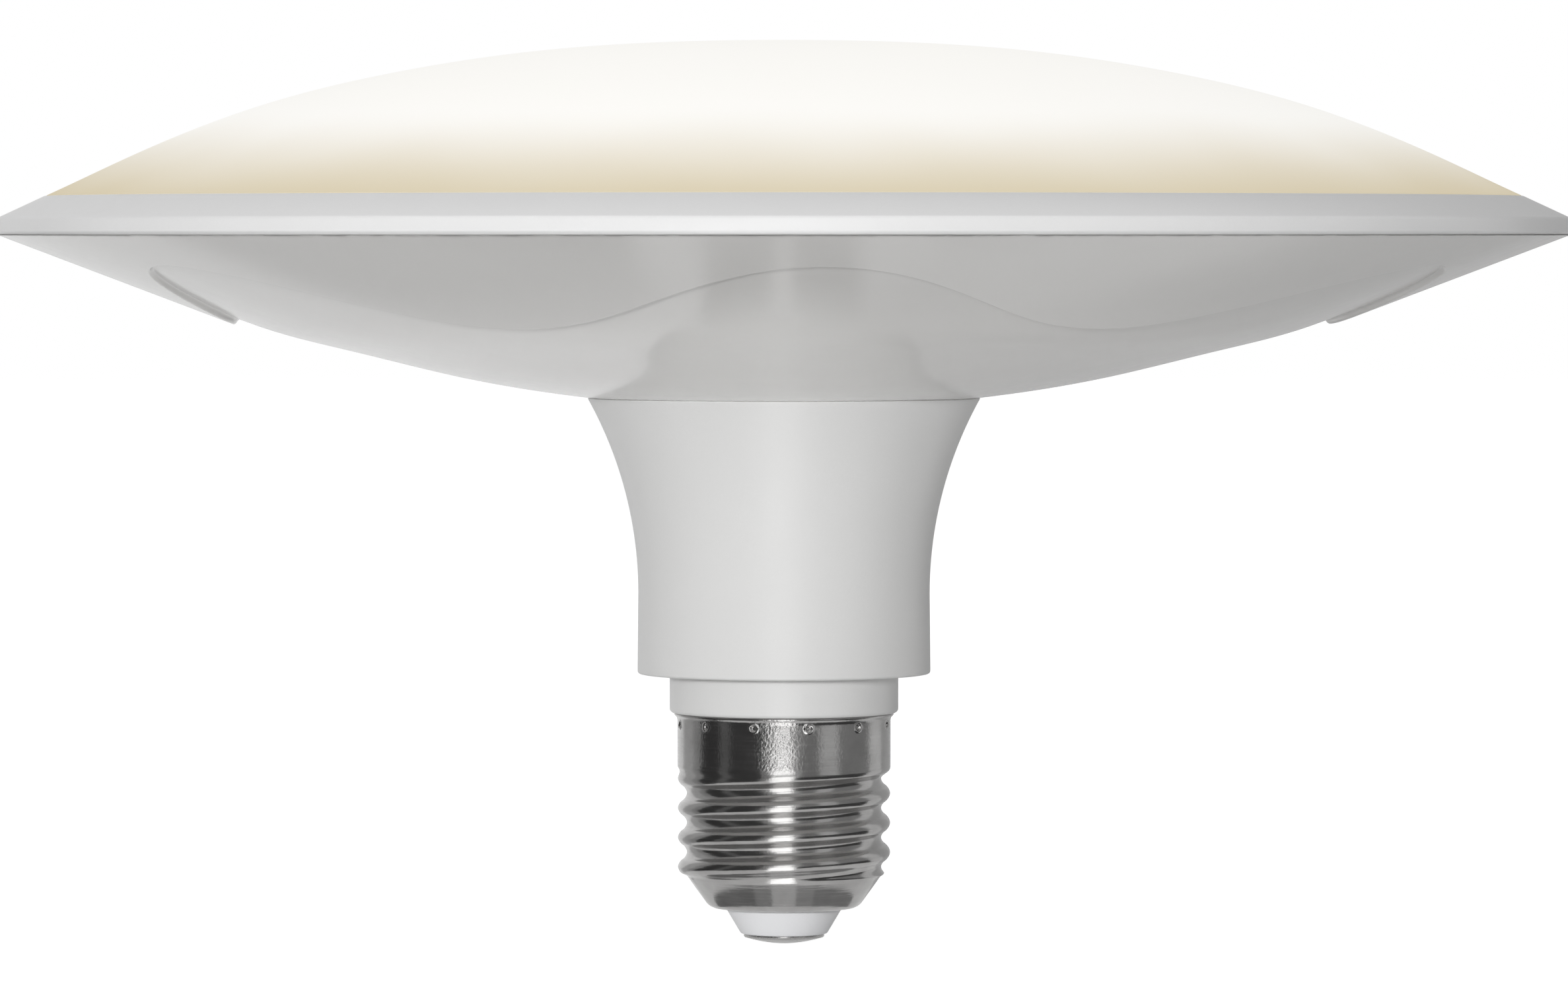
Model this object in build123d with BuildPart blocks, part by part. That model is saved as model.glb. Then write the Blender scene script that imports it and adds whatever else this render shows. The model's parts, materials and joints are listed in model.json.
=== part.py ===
from build123d import *
import math
import os

# Flat dish-shaped LED lamp, standing on its screw cap with the opal dome up. Sizes are millimetres.
# The axis is Z, the origin is the tip of the centre contact, and the front is -Y.

os.makedirs("parts", exist_ok=True)

# Heights of the visible pieces, stacked from the tip of the centre contact
insulator_show = 4.4
shell_height = 24.0
collar_show = 4.8
neck_length = 33.9
dish_depth = 19.9
bezel_height = 4.85
dome_rise = 18.95

# Radii of the visible pieces
rim_radius = 96.0
bezel_width = 5.9
hub_radius = 24.15
neck_radius = 17.9
skirt_radius = 13.1
collar_step = 0.55

# Walls
dome_wall = 1.4
dish_wall = 1.7
neck_wall = 1.8
nose_wall = 0.4
sheet = 0.3

# Clearances
slip = 0.1
thread_slip = 0.05

# Heights that follow from the stack
shell_bottom = insulator_show
shell_top = shell_bottom + shell_height
neck_bottom = shell_top + collar_show
neck_top = neck_bottom + neck_length
rim_height = neck_top + dish_depth
dome_edge = rim_height + bezel_height
dome_top = dome_edge + dome_rise

# Dish underside: a belly that rises from the hub, then a straight cone out to the rim
cone_slope = 0.366
cone_width = 31.0
belly_slope = 0.12
recess_depth = 0.45
cone_start = rim_radius - cone_width
cone_start_height = rim_height + recess_depth - cone_width * cone_slope
belly_span = cone_start - hub_radius
belly_rise = cone_start_height - neck_top
belly_shape = ((0.37, 0.27), (0.71, 0.64))

# Scalloped step pressed into the underside
lobe_count = 6
lobe_margin = 19.4
lobe_reach = 9.6
lobe_pinch = 0.8
lobe_turn = math.radians(3)
lobe_points = 8
lobe_mean_radius = rim_radius - lobe_margin

# Rim seam: a tongue on the dish in a groove of the bezel ring, and the dome's foot inside both
tongue_inset = 1.1
tongue_width = 0.6
tongue_height = 0.8
bezel_reach = 0.25
bezel_draft = 0.15
bezel_chamfer = 0.45
bezel_land = 2.1
bezel_thickness = 1.7
bezel_web = 0.5
foot_width = 5.4
dome_edge_slope = 0.455
dome_shape = ((0.35, 0.076), (0.53, 0.208), (0.71, 0.42), (0.89, 0.755))
dome_radius = rim_radius - bezel_width
tongue_radius = rim_radius - tongue_inset
groove_half = tongue_width / 2 + slip
foot_radius = tongue_radius - groove_half - bezel_web - slip
dish_inside_end = foot_radius - foot_width - slip

# Neck and the screws that hold the dish on it
flare_radius = 49.3
neck_flange = 3.0
neck_draft = 0.1
spigot_wall = 1.1
spigot_depth = 2.1
hub_bore = 16.0
neck_screw_count = 3
neck_screw_circle = 19.4
neck_screw_first = 90
neck_boss_radius = 2.0
neck_boss_depth = 5.6
neck_screw_radius = 0.9
neck_screw_length = 7.0
neck_head_radius = 1.9
neck_head_height = 1.4
neck_bore = neck_radius - neck_wall
flange_bore = hub_bore + spigot_wall + slip
screw_seat = neck_top + dish_wall

# Screw shell, rolled from sheet with a right-hand thread
thread_pitch = 3.629
thread_depth = 1.1
crest_clearance = 0.05
thread_margin = 3.7
thread_length = 14.3
groove_lift = 10.45
thread_fade_in = 1.5
thread_fade_out = 2.1
shoulder_lift = 5.4
shoulder_curve = 0.398
sections_per_turn = 8
lip_reach = 0.4
lip_height = 1.0
lip_flare = 0.25
cone_inset = 3.4
cone_height = 0.8
waist_inset = 2.1
waist_height = 2.7
corner_inset = 4.4
mouth_inset = 5.8
punch_count = 12
punch_first = 15
punch_drop = 1.6
punch_ball = 0.6
punch_depth = 0.2
crest_radius = skirt_radius - crest_clearance
thread_start = shell_bottom + thread_margin
thread_end = thread_start + thread_length
groove_height = shell_bottom + groove_lift
shoulder_height = shell_bottom + shoulder_lift

# Collar: a sleeve that carries the driver board, with a nose inside the screw shell
collar_lift = 5.0
collar_flange = 1.6
collar_chamfer = 0.4
rib_height = 14.0
rib_width = 1.2
rib_floor = 1.5
collar_radius = skirt_radius + lip_reach + collar_step
nose_radius = skirt_radius - sheet - slip
nose_bottom = thread_end + slip
collar_bore = nose_radius - nose_wall
collar_shoulder = neck_bottom + collar_lift
collar_top = collar_shoulder + collar_flange

# Insulator and centre contact
insulator_tip_height = 1.2
insulator_tip_inset = 2.0
plug_ledge = 1.3
plug_height = 1.7
contact_radius = 4.95
contact_edge = 0.4
stem_radius = 1.2
stem_show = 2.1
mouth_radius = skirt_radius - mouth_inset
plug_floor = shell_bottom + sheet
plug_top = plug_floor + plug_height
stem_top = plug_top + stem_show

# LED board on its heat spreader
spreader_drop = 4.6
spreader_thickness = 1.0
spreader_flange = 3.0
spreader_gap = 0.3
led_board_thickness = 1.2
led_board_margin = 1.5
wire_hole_radius = 4.5
led_rings = ((0.296, 10), (0.512, 18), (0.727, 24), (0.93, 32))
led_length = 3.5
led_width = 2.8
led_height = 0.75
board_screw_count = 6
board_screw_margin = 34.5
board_boss_radius = 3.0
board_screw_radius = 1.3
board_screw_length = 7.0
board_head_radius = 2.5
board_head_height = 1.6
terminal_length = 6.0
terminal_width = 8.0
terminal_height = 3.4
terminal_setback = 4.5
terminal_chamfer = 0.3
spreader_bottom = rim_height - spreader_drop
led_board_bottom = spreader_bottom + spreader_thickness
led_board_top = led_board_bottom + led_board_thickness
board_screw_circle = rim_radius - board_screw_margin
terminal_face = -wire_hole_radius - terminal_setback

# Driver board, upright in the neck, its foot in the collar's ribs and its shoulders on the flange
driver_front = 1.0
driver_thickness = 1.2
driver_foot_margin = 0.7
driver_margin = 1.5
driver_rise = 4.9
driver_back = driver_front + driver_thickness
driver_middle = driver_front + driver_thickness / 2
driver_bottom = nose_bottom + rib_floor
driver_top = neck_top + driver_rise
driver_foot_half_width = collar_bore - driver_foot_margin
driver_half_width = neck_bore - driver_margin

# Components on the driver board, placed from the collar's flange or from the board's top
input_capacitor_radius = 5.0
input_capacitor_length = 16.0
input_capacitor_x = -6.6
input_capacitor_lift = 3.2
output_capacitor_radius = 4.0
output_capacitor_length = 10.5
output_capacitor_x = -7.2
output_capacitor_drop = 0.5
capacitor_bead = 0.35
capacitor_bead_height = 1.6
pin_radius = 0.3
pin_drop = 1.2
transformer_x = 6.6
transformer_lift = 3.2
core_width = 12.0
core_height = 14.0
core_depth = 4.0
core_arm = 2.0
bobbin_wall = 0.4
bobbin_width = 7.8
bobbin_depth = 9.6
winding_width = 7.0
winding_depth = 8.8
film_length = 10.0
film_height = 8.5
film_depth = 4.5
film_lift = 5.5
film_round = 0.4
rectifier_size = 4.8
rectifier_depth = 2.5
rectifier_lift = 9.0
chip_width = 4.9
chip_length = 3.9
chip_depth = 1.5
chip_lift = 10.2
chip_leg_pitch = 1.27
chip_leg_width = 0.42
chip_leg_height = 0.4
chip_leg_count = 4
chip_resistor_length = 2.0
chip_resistor_width = 1.25
chip_resistor_height = 0.5
chip_resistor_pitch = 3.9
chip_resistor_drop = 12.2
resistor_radius = 1.3
resistor_length = 7.0
resistor_lift = 2.6
header_x = 6.0
header_width = 7.6
header_depth = 5.6
header_height = 6.0
header_wall = 0.8
header_drop = 9.0
plug_show = 3.5
plug_wire_spread = 1.25

# Leads
lead_radius = 0.55
dc_lead_radius = 0.75
dc_lead_spread = 1.4
terminal_wire_height = 1.8
dc_bend_radius = 2.25
positive_rise = 4.0
positive_drop = 1.5
negative_rise = 5.0
negative_drop = 0.5
mains_lead_x = 4.0
mains_bend_radius = 2.2
shell_lead_gap = 0.3


def fade(value):
    """A smooth step from 0 to 1."""
    share = min(1.0, max(0.0, value))
    return share * share * (3 - 2 * share)


def underside_line(lift):
    """Hub to rim along the dish's underside, or along its inside when lifted by the wall."""
    start = (hub_radius, neck_top + lift)
    middle = []
    for out, up in belly_shape:
        middle.append((hub_radius + belly_span * out, neck_top + belly_rise * up + lift))
    end = (cone_start, cone_start_height + lift)
    Spline(start, *middle, end, tangents=[(1, belly_slope), (1, cone_slope)])
    return start, end


def cone_height_at(radius):
    """Height of the recessed underside on its straight cone."""
    return cone_start_height + (radius - cone_start) * cone_slope


def cone_radius_at(height):
    """Radius of the recessed underside's cone at a height."""
    return cone_start + (height - cone_start_height) / cone_slope


def dome_line(end_radius, drop):
    """The dome's meridian from its top to an end radius, lowered by the wall for the inside."""
    end = (end_radius, dome_edge + (dome_radius - end_radius) * dome_edge_slope - drop)
    start = (0, dome_top - drop)
    middle = []
    for out, down in dome_shape:
        middle.append((dome_radius * out, dome_top - dome_rise * down - drop))
    Spline(start, *middle, end, tangents=[(1, 0), (1, -dome_edge_slope)])
    return start, end


# Dish housing: a turned blank, the recess inside the scallops, bosses and screw holes
with BuildPart() as recess_cutter:
    with BuildSketch(Plane.XZ):
        with BuildLine():
            hub_point, cone_point = underside_line(0)
            cone_end = (rim_radius, cone_height_at(rim_radius))
            Line(cone_point, cone_end)
            Polyline(
                hub_point,
                (hub_bore + spigot_wall, neck_top),
                (hub_bore + spigot_wall, neck_bottom),
                (rim_radius, neck_bottom),
                cone_end,
            )
        make_face()
    revolve(axis=Axis.Z)
    scallop = []
    for step in range(lobe_count * lobe_points):
        around = 2 * math.pi * step / (lobe_count * lobe_points)
        turn = lobe_count * around
        reach = lobe_mean_radius - lobe_reach * math.cos(turn) - lobe_pinch * (1 - math.cos(2 * turn))
        place = around + lobe_turn
        scallop.append((reach * math.cos(place), reach * math.sin(place)))
    with BuildSketch(Plane.XY.offset(neck_bottom)):
        with BuildLine():
            Spline(*scallop, periodic=True)
        make_face()
    extrude(amount=rim_height - neck_bottom, mode=Mode.INTERSECT)

with BuildPart() as dish_housing:
    with BuildSketch(Plane.XZ):
        with BuildLine():
            floor_point, wall_point = underside_line(dish_wall)
            inside_end = (dish_inside_end, cone_height_at(dish_inside_end) + dish_wall)
            Line(wall_point, inside_end)
            Polyline(
                floor_point,
                (hub_bore, neck_top + dish_wall),
                (hub_bore, neck_top - spigot_depth),
                (hub_bore + spigot_wall, neck_top - spigot_depth),
                (hub_bore + spigot_wall, neck_top - recess_depth),
                (hub_radius, neck_top - recess_depth),
                (cone_start, cone_start_height - 2 * recess_depth),
                (rim_radius, rim_height),
                (tongue_radius + tongue_width / 2, rim_height),
                (tongue_radius + tongue_width / 2, rim_height + tongue_height),
                (tongue_radius - tongue_width / 2, rim_height + tongue_height),
                (tongue_radius - tongue_width / 2, rim_height),
                (dish_inside_end, rim_height),
                inside_end,
            )
        make_face()
    revolve(axis=Axis.Z)
    boss_foot = cone_height_at(board_screw_circle) + dish_wall / 2
    with BuildSketch(Plane.XY.offset(boss_foot)):
        with PolarLocations(board_screw_circle, board_screw_count):
            Circle(board_boss_radius)
    extrude(amount=spreader_bottom - boss_foot)
    with BuildSketch(Plane.XY.offset(spreader_bottom)):
        with PolarLocations(board_screw_circle, board_screw_count):
            Circle(board_screw_radius + thread_slip)
    extrude(amount=-board_screw_length, mode=Mode.SUBTRACT)
    with BuildSketch(Plane.XY.offset(screw_seat)):
        with PolarLocations(neck_screw_circle, neck_screw_count, start_angle=neck_screw_first):
            Circle(neck_screw_radius + slip)
    extrude(amount=-2 * dish_wall, mode=Mode.SUBTRACT)
    add(recess_cutter.part, mode=Mode.SUBTRACT)

dish_housing.part.label = "dish_housing"
export_step(dish_housing.part, "parts/dish_housing.step")

# Bezel ring: the sloped white ring that clamps the dome's foot
bezel_outer = rim_radius + bezel_reach
bezel_inner = dome_radius + slip
bezel_under = dome_edge - bezel_thickness

with BuildPart() as bezel_ring:
    with BuildSketch(Plane.XZ):
        with BuildLine():
            Polyline(
                (bezel_inner, dome_edge),
                (bezel_outer - bezel_draft, rim_height + bezel_land),
                (bezel_outer, rim_height + bezel_chamfer),
                (bezel_outer - bezel_chamfer, rim_height),
                (tongue_radius + groove_half, rim_height),
                (tongue_radius + groove_half, rim_height + tongue_height + slip),
                (tongue_radius - groove_half, rim_height + tongue_height + slip),
                (tongue_radius - groove_half, rim_height),
                (foot_radius + slip, rim_height),
                (foot_radius + slip, bezel_under - (foot_radius - dome_radius) * dome_edge_slope),
                (bezel_inner, bezel_under - slip * dome_edge_slope),
                close=True,
            )
        make_face()
    revolve(axis=Axis.Z)

bezel_ring.part.label = "bezel_ring"
export_step(bezel_ring.part, "parts/bezel_ring.step")

# Diffuser: the opal dome, with a foot that the bezel ring holds down
foot_inner = dish_inside_end + slip
foot_top = bezel_under - slip

with BuildPart() as diffuser:
    with BuildSketch(Plane.XZ):
        with BuildLine():
            dome_start, dome_end = dome_line(dome_radius, 0)
            inside_start, inside_finish = dome_line(foot_inner, dome_wall)
            Line(dome_start, inside_start)
            Polyline(
                dome_end,
                (dome_radius, foot_top),
                (foot_radius, foot_top - (foot_radius - dome_radius) * dome_edge_slope),
                (foot_radius, rim_height),
                (foot_inner, rim_height),
                inside_finish,
            )
        make_face()
    revolve(axis=Axis.Z)

diffuser.part.label = "diffuser"
export_step(diffuser.part, "parts/diffuser.step")

# Neck: a trumpet with a top flange and bosses for the dish's screws
flare_reach = hub_radius - neck_radius
flare_rise = math.sqrt(2 * flare_radius * flare_reach - flare_reach**2)
flare_start = neck_top - flare_rise
inner_flare_radius = flare_radius + neck_wall
flare_centre = neck_radius + flare_radius
flange_under = neck_top - neck_flange
outer_turn = math.degrees(math.asin(flare_rise / flare_radius))
inner_turn = math.degrees(math.asin((flange_under - flare_start) / inner_flare_radius))
flange_reach = flare_centre - inner_flare_radius * math.cos(math.radians(inner_turn))

with BuildPart() as neck:
    with BuildSketch(Plane.XZ):
        with BuildLine():
            Line((neck_radius + neck_draft, neck_bottom), (neck_radius, flare_start))
            CenterArc((flare_centre, flare_start), flare_radius, 180, -outer_turn)
            Polyline(
                (hub_radius, neck_top),
                (flange_bore, neck_top),
                (flange_bore, flange_under),
                (flange_reach, flange_under),
            )
            CenterArc((flare_centre, flare_start), inner_flare_radius, 180, -inner_turn)
            Polyline(
                (neck_bore, flare_start),
                (neck_bore, collar_shoulder),
                (collar_radius + slip, collar_shoulder),
                (collar_radius + slip, neck_bottom),
                (neck_radius + neck_draft, neck_bottom),
            )
        make_face()
    revolve(axis=Axis.Z)
    with BuildSketch(Plane.XY.offset(flange_under)):
        with PolarLocations(neck_screw_circle, neck_screw_count, start_angle=neck_screw_first):
            Circle(neck_boss_radius)
    extrude(amount=neck_flange - neck_boss_depth)
    with BuildSketch(Plane.XY.offset(neck_top)):
        with PolarLocations(neck_screw_circle, neck_screw_count, start_angle=neck_screw_first):
            Circle(neck_screw_radius + thread_slip)
    extrude(amount=-neck_boss_depth, mode=Mode.SUBTRACT)

neck.part.label = "neck"
export_step(neck.part, "parts/neck.step")

# Collar: sleeve with a nose inside the screw shell, a flange inside the neck and ribs for the board
rib_reach = driver_foot_half_width - rib_width

with BuildPart() as cap_collar:
    with BuildSketch(Plane.XZ):
        with BuildLine():
            Polyline(
                (collar_bore, nose_bottom),
                (nose_radius, nose_bottom),
                (nose_radius, shell_top),
                (collar_radius - collar_chamfer, shell_top),
                (collar_radius, shell_top + collar_chamfer),
                (collar_radius, collar_shoulder),
                (neck_bore - slip, collar_shoulder),
                (neck_bore - slip, collar_top),
                (collar_bore, collar_top),
                close=True,
            )
        make_face()
    revolve(axis=Axis.Z)
    with BuildSketch(Plane.XY.offset(nose_bottom)):
        Circle(collar_bore + nose_wall / 2)
        Rectangle(2 * rib_reach, 2 * nose_radius, mode=Mode.SUBTRACT)
        with Locations((0, driver_middle)):
            Rectangle(2 * nose_radius, driver_thickness + 2 * rib_width, mode=Mode.INTERSECT)
    extrude(amount=rib_height)
    with BuildSketch(Plane.XY.offset(nose_bottom + rib_floor)):
        with Locations((0, driver_middle)):
            Rectangle(2 * (driver_foot_half_width + slip), driver_thickness + 2 * slip)
    extrude(amount=rib_height, mode=Mode.SUBTRACT)

cap_collar.part.label = "cap_collar"
export_step(cap_collar.part, "parts/cap_collar.step")

# Screw shell: circles whose centre winds round the axis make a rolled single-start thread
section_count = round((thread_end - thread_start) / thread_pitch * sections_per_turn)


def thread_circle(height):
    """Centre and radius of the shell's outside at a height on the thread."""
    rise = fade((thread_end - height) / thread_fade_out)
    start = fade((height - thread_start) / thread_fade_in)
    wave = thread_depth / 2 * rise * start
    turn = 2 * math.pi * (height - groove_height) / thread_pitch
    shoulder = shoulder_curve * max(0.0, shoulder_height - height) ** 2
    settle = (skirt_radius - crest_radius) * (1 - rise)
    radius = crest_radius + settle - shoulder - wave
    return (wave * math.cos(turn), wave * math.sin(turn)), radius


def shell_profile(inset):
    """The turned stretches of the shell above and below its thread, from outside or inside."""
    thread_foot = thread_circle(thread_start)[1]
    skirt = [
        (skirt_radius - inset, thread_end),
        (skirt_radius - inset, shell_top - lip_height - lip_flare),
        (skirt_radius + lip_reach - inset, shell_top - lip_height),
        (skirt_radius + lip_reach - inset, shell_top),
    ]
    base = [
        (thread_foot - inset, thread_start),
        (skirt_radius - waist_inset - inset, shell_bottom + waist_height),
        (skirt_radius - cone_inset - inset, shell_bottom + cone_height),
    ]
    return skirt, base


with BuildPart() as screw_shell:
    for inset, mode in ((0, Mode.ADD), (sheet, Mode.SUBTRACT)):
        for step in range(section_count + 1):
            level = thread_start + (thread_end - thread_start) * step / section_count
            centre, radius = thread_circle(level)
            with BuildSketch(Plane.XY.offset(level)):
                with Locations(centre):
                    Circle(radius - inset)
        loft(mode=mode, clean=False)
    outer_skirt, outer_base = shell_profile(0)
    inner_skirt, inner_base = shell_profile(sheet)
    with BuildSketch(Plane.XZ):
        with BuildLine():
            Polyline(*outer_skirt, *reversed(inner_skirt), close=True)
        make_face()
    revolve(axis=Axis.Z, clean=False)
    with BuildSketch(Plane.XZ):
        with BuildLine():
            Polyline(
                *outer_base,
                (skirt_radius - corner_inset, shell_bottom),
                (mouth_radius, shell_bottom),
                (mouth_radius, plug_floor),
                (skirt_radius - corner_inset - sheet / 2, plug_floor),
                *reversed(inner_base),
                close=True,
            )
        make_face()
    revolve(axis=Axis.Z, clean=False)
    punch_circle = skirt_radius + punch_ball - punch_depth
    with Locations((0, 0, shell_top - punch_drop)):
        with PolarLocations(punch_circle, punch_count, start_angle=punch_first):
            Sphere(punch_ball, mode=Mode.SUBTRACT)

screw_shell.part.label = "screw_shell"
export_step(screw_shell.part, "parts/screw_shell.step")

# Insulator: a cone below the shell's mouth, its plug on the shell's turned-in floor
insulator_tip_radius = mouth_radius - insulator_tip_inset
plug_radius = mouth_radius + plug_ledge

with BuildPart() as cap_insulator:
    with BuildSketch(Plane.XZ):
        with BuildLine():
            Polyline(
                (stem_radius + thread_slip, insulator_tip_height),
                (insulator_tip_radius, insulator_tip_height),
                (mouth_radius - slip, shell_bottom),
                (mouth_radius - slip, plug_floor),
                (plug_radius - sheet, plug_floor),
                (plug_radius, plug_floor + plug_height / 2),
                (plug_radius, plug_top),
                (stem_radius + thread_slip, plug_top),
                close=True,
            )
        make_face()
    revolve(axis=Axis.Z)

cap_insulator.part.label = "cap_insulator"
export_step(cap_insulator.part, "parts/cap_insulator.step")

# Centre contact: a rivet with a domed head and a stem through the insulator
with BuildPart() as centre_contact:
    with BuildSketch(Plane.XZ):
        with BuildLine():
            Spline(
                (0, 0),
                (contact_radius, insulator_tip_height - contact_edge),
                tangents=[(1, 0), (1, 2 * contact_edge)],
            )
            Polyline(
                (contact_radius, insulator_tip_height - contact_edge),
                (contact_radius, insulator_tip_height),
                (stem_radius, insulator_tip_height),
                (stem_radius, stem_top),
                (0, stem_top),
                (0, 0),
            )
        make_face()
    revolve(axis=Axis.Z)

centre_contact.part.label = "centre_contact"
export_step(centre_contact.part, "parts/centre_contact.step")

# Heat spreader: a shallow pan on the dish's bosses
spreader_radius = cone_radius_at(spreader_bottom - dish_wall) - spreader_gap / cone_slope
led_board_radius = spreader_radius - spreader_thickness - led_board_margin

with BuildPart() as heat_spreader:
    with BuildSketch(Plane.XY.offset(spreader_bottom)):
        Circle(spreader_radius)
    extrude(amount=spreader_flange)
    with BuildSketch(Plane.XY.offset(spreader_bottom + spreader_thickness)):
        Circle(spreader_radius - spreader_thickness)
    extrude(amount=spreader_flange, mode=Mode.SUBTRACT)
    with BuildSketch(Plane.XY.offset(spreader_bottom)):
        Circle(wire_hole_radius)
        with PolarLocations(board_screw_circle, board_screw_count):
            Circle(board_screw_radius + slip)
    extrude(amount=spreader_thickness, mode=Mode.SUBTRACT)

heat_spreader.part.label = "heat_spreader"
export_step(heat_spreader.part, "parts/heat_spreader.step")

with BuildPart() as led_board:
    with BuildSketch(Plane.XY.offset(led_board_bottom)):
        Circle(led_board_radius)
        Circle(wire_hole_radius, mode=Mode.SUBTRACT)
        with PolarLocations(board_screw_circle, board_screw_count):
            Circle(board_screw_radius + slip, mode=Mode.SUBTRACT)
    extrude(amount=led_board_thickness)

led_board.part.label = "led_board"
export_step(led_board.part, "parts/led_board.step")

with BuildPart() as led_chips:
    with BuildSketch(Plane.XY.offset(led_board_top)):
        for ring_share, chip_count in led_rings:
            ring_radius = led_board_radius * ring_share
            with PolarLocations(ring_radius, chip_count, start_angle=180 / chip_count):
                Rectangle(led_width, led_length)
    extrude(amount=led_height)

led_chips.part.label = "led_chips"
export_step(led_chips.part, "parts/led_chips.step")


def screw_ring(seat, circle, count, first, shank, head):
    """A ring of pan-head screws standing in their holes, each given as (radius, length)."""
    shank_radius, shank_length = shank
    head_radius, head_height = head
    with BuildPart() as ring:
        with BuildSketch(Plane.XY.offset(seat)):
            with PolarLocations(circle, count, start_angle=first):
                Circle(head_radius)
        extrude(amount=head_height)
        fillet(ring.edges().group_by(Axis.Z)[-1], head_height / 2)
        with BuildSketch(Plane.XY.offset(seat)):
            with PolarLocations(circle, count, start_angle=first):
                Circle(shank_radius)
        extrude(amount=-shank_length)
    return ring


board_screws = screw_ring(
    led_board_top,
    board_screw_circle,
    board_screw_count,
    0,
    (board_screw_radius, board_screw_length),
    (board_head_radius, board_head_height),
)

board_screws.part.label = "board_screws"
export_step(board_screws.part, "parts/board_screws.step")

neck_screws = screw_ring(
    screw_seat,
    neck_screw_circle,
    neck_screw_count,
    neck_screw_first,
    (neck_screw_radius, neck_screw_length),
    (neck_head_radius, neck_head_height),
)

neck_screws.part.label = "neck_screws"
export_step(neck_screws.part, "parts/neck_screws.step")

# Terminal block beside the wire hole of the LED board
with BuildPart() as board_terminal:
    with BuildSketch(Plane.XY.offset(led_board_top)):
        with Locations((terminal_face - terminal_length / 2, 0)):
            Rectangle(terminal_length, terminal_width)
    extrude(amount=terminal_height)
    chamfer(board_terminal.faces().sort_by(Axis.Z)[-1].edges(), terminal_chamfer)

board_terminal.part.label = "board_terminal"
export_step(board_terminal.part, "parts/board_terminal.step")

# Driver board
with BuildPart() as driver_board:
    with BuildSketch(Plane.XZ.offset(-driver_front)):
        with BuildLine():
            Polyline(
                (-driver_foot_half_width, driver_bottom),
                (driver_foot_half_width, driver_bottom),
                (driver_foot_half_width, collar_top),
                (driver_half_width, collar_top),
                (driver_half_width, driver_top),
                (-driver_half_width, driver_top),
                (-driver_half_width, collar_top),
                (-driver_foot_half_width, collar_top),
                close=True,
            )
        make_face()
    extrude(amount=-driver_thickness)

driver_board.part.label = "driver_board"
export_step(driver_board.part, "parts/driver_board.step")


def capacitor(radius, length, centre_x, bottom):
    """An electrolytic can that lies against the board, its two pins bent back into it."""
    centre_y = driver_front - slip - radius
    with BuildPart() as can:
        with BuildSketch(Plane.XZ.offset(-centre_y)):
            with BuildLine():
                Polyline(
                    (centre_x, bottom),
                    (centre_x + radius, bottom),
                    (centre_x + radius, bottom + capacitor_bead_height - capacitor_bead),
                    (centre_x + radius - capacitor_bead, bottom + capacitor_bead_height),
                    (centre_x + radius, bottom + capacitor_bead_height + capacitor_bead),
                    (centre_x + radius, bottom + length),
                    (centre_x, bottom + length),
                    close=True,
                )
            make_face()
        revolve(axis=Axis((centre_x, centre_y, bottom), (0, 0, 1)))
        for side in (-1, 1):
            pin_x = centre_x + side * radius / 2
            with BuildSketch(Plane.XY.offset(bottom)):
                with Locations((pin_x, centre_y)):
                    Circle(pin_radius)
            extrude(amount=-pin_drop)
            with BuildSketch(Plane.XZ.offset(-driver_front)):
                with Locations((pin_x, bottom - pin_drop)):
                    Circle(pin_radius)
            extrude(amount=radius + slip)
    return can


input_capacitor = capacitor(
    input_capacitor_radius,
    input_capacitor_length,
    input_capacitor_x,
    collar_top + input_capacitor_lift,
)
input_capacitor.part.label = "input_capacitor"
export_step(input_capacitor.part, "parts/input_capacitor.step")

output_capacitor = capacitor(
    output_capacitor_radius,
    output_capacitor_length,
    output_capacitor_x,
    driver_top - output_capacitor_drop - output_capacitor_length,
)

output_capacitor.part.label = "output_capacitor"
export_step(output_capacitor.part, "parts/output_capacitor.step")

# Transformer: a bobbin against the board, its winding, and a core through and round both
transformer_y = driver_front - bobbin_depth / 2
transformer_bottom = collar_top + transformer_lift
core_middle = transformer_bottom + core_height / 2
window_height = core_height - 2 * core_arm
centre_leg = core_width / 3

with BuildPart() as transformer_core:
    with BuildSketch(Plane.XZ.offset(-transformer_y)):
        with Locations((transformer_x, core_middle)):
            Rectangle(core_width, core_height)
            Rectangle(core_width - 2 * core_arm, window_height, mode=Mode.SUBTRACT)
            Rectangle(centre_leg, core_height)
    extrude(amount=core_depth / 2, both=True)

transformer_core.part.label = "transformer_core"
export_step(transformer_core.part, "parts/transformer_core.step")

tube_width = centre_leg + 2 * (slip + bobbin_wall)
tube_depth = core_depth + 2 * (slip + bobbin_wall)
bobbin_bottom = transformer_bottom + core_arm + slip
bobbin_height = window_height - 2 * slip
transformer_centre = (transformer_x, transformer_y)

with BuildPart() as transformer_bobbin:
    for level in (bobbin_bottom, bobbin_bottom + bobbin_height - 2 * bobbin_wall):
        with BuildSketch(Plane.XY.offset(level)):
            with Locations(transformer_centre):
                Rectangle(bobbin_width, bobbin_depth)
        extrude(amount=2 * bobbin_wall)
    with BuildSketch(Plane.XY.offset(bobbin_bottom)):
        with Locations(transformer_centre):
            Rectangle(tube_width, tube_depth)
    extrude(amount=bobbin_height)
    with BuildSketch(Plane.XY.offset(bobbin_bottom)):
        with Locations(transformer_centre):
            Rectangle(centre_leg + 2 * slip, core_depth + 2 * slip)
    extrude(amount=bobbin_height, mode=Mode.SUBTRACT)

transformer_bobbin.part.label = "transformer_bobbin"
export_step(transformer_bobbin.part, "parts/transformer_bobbin.step")

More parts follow.
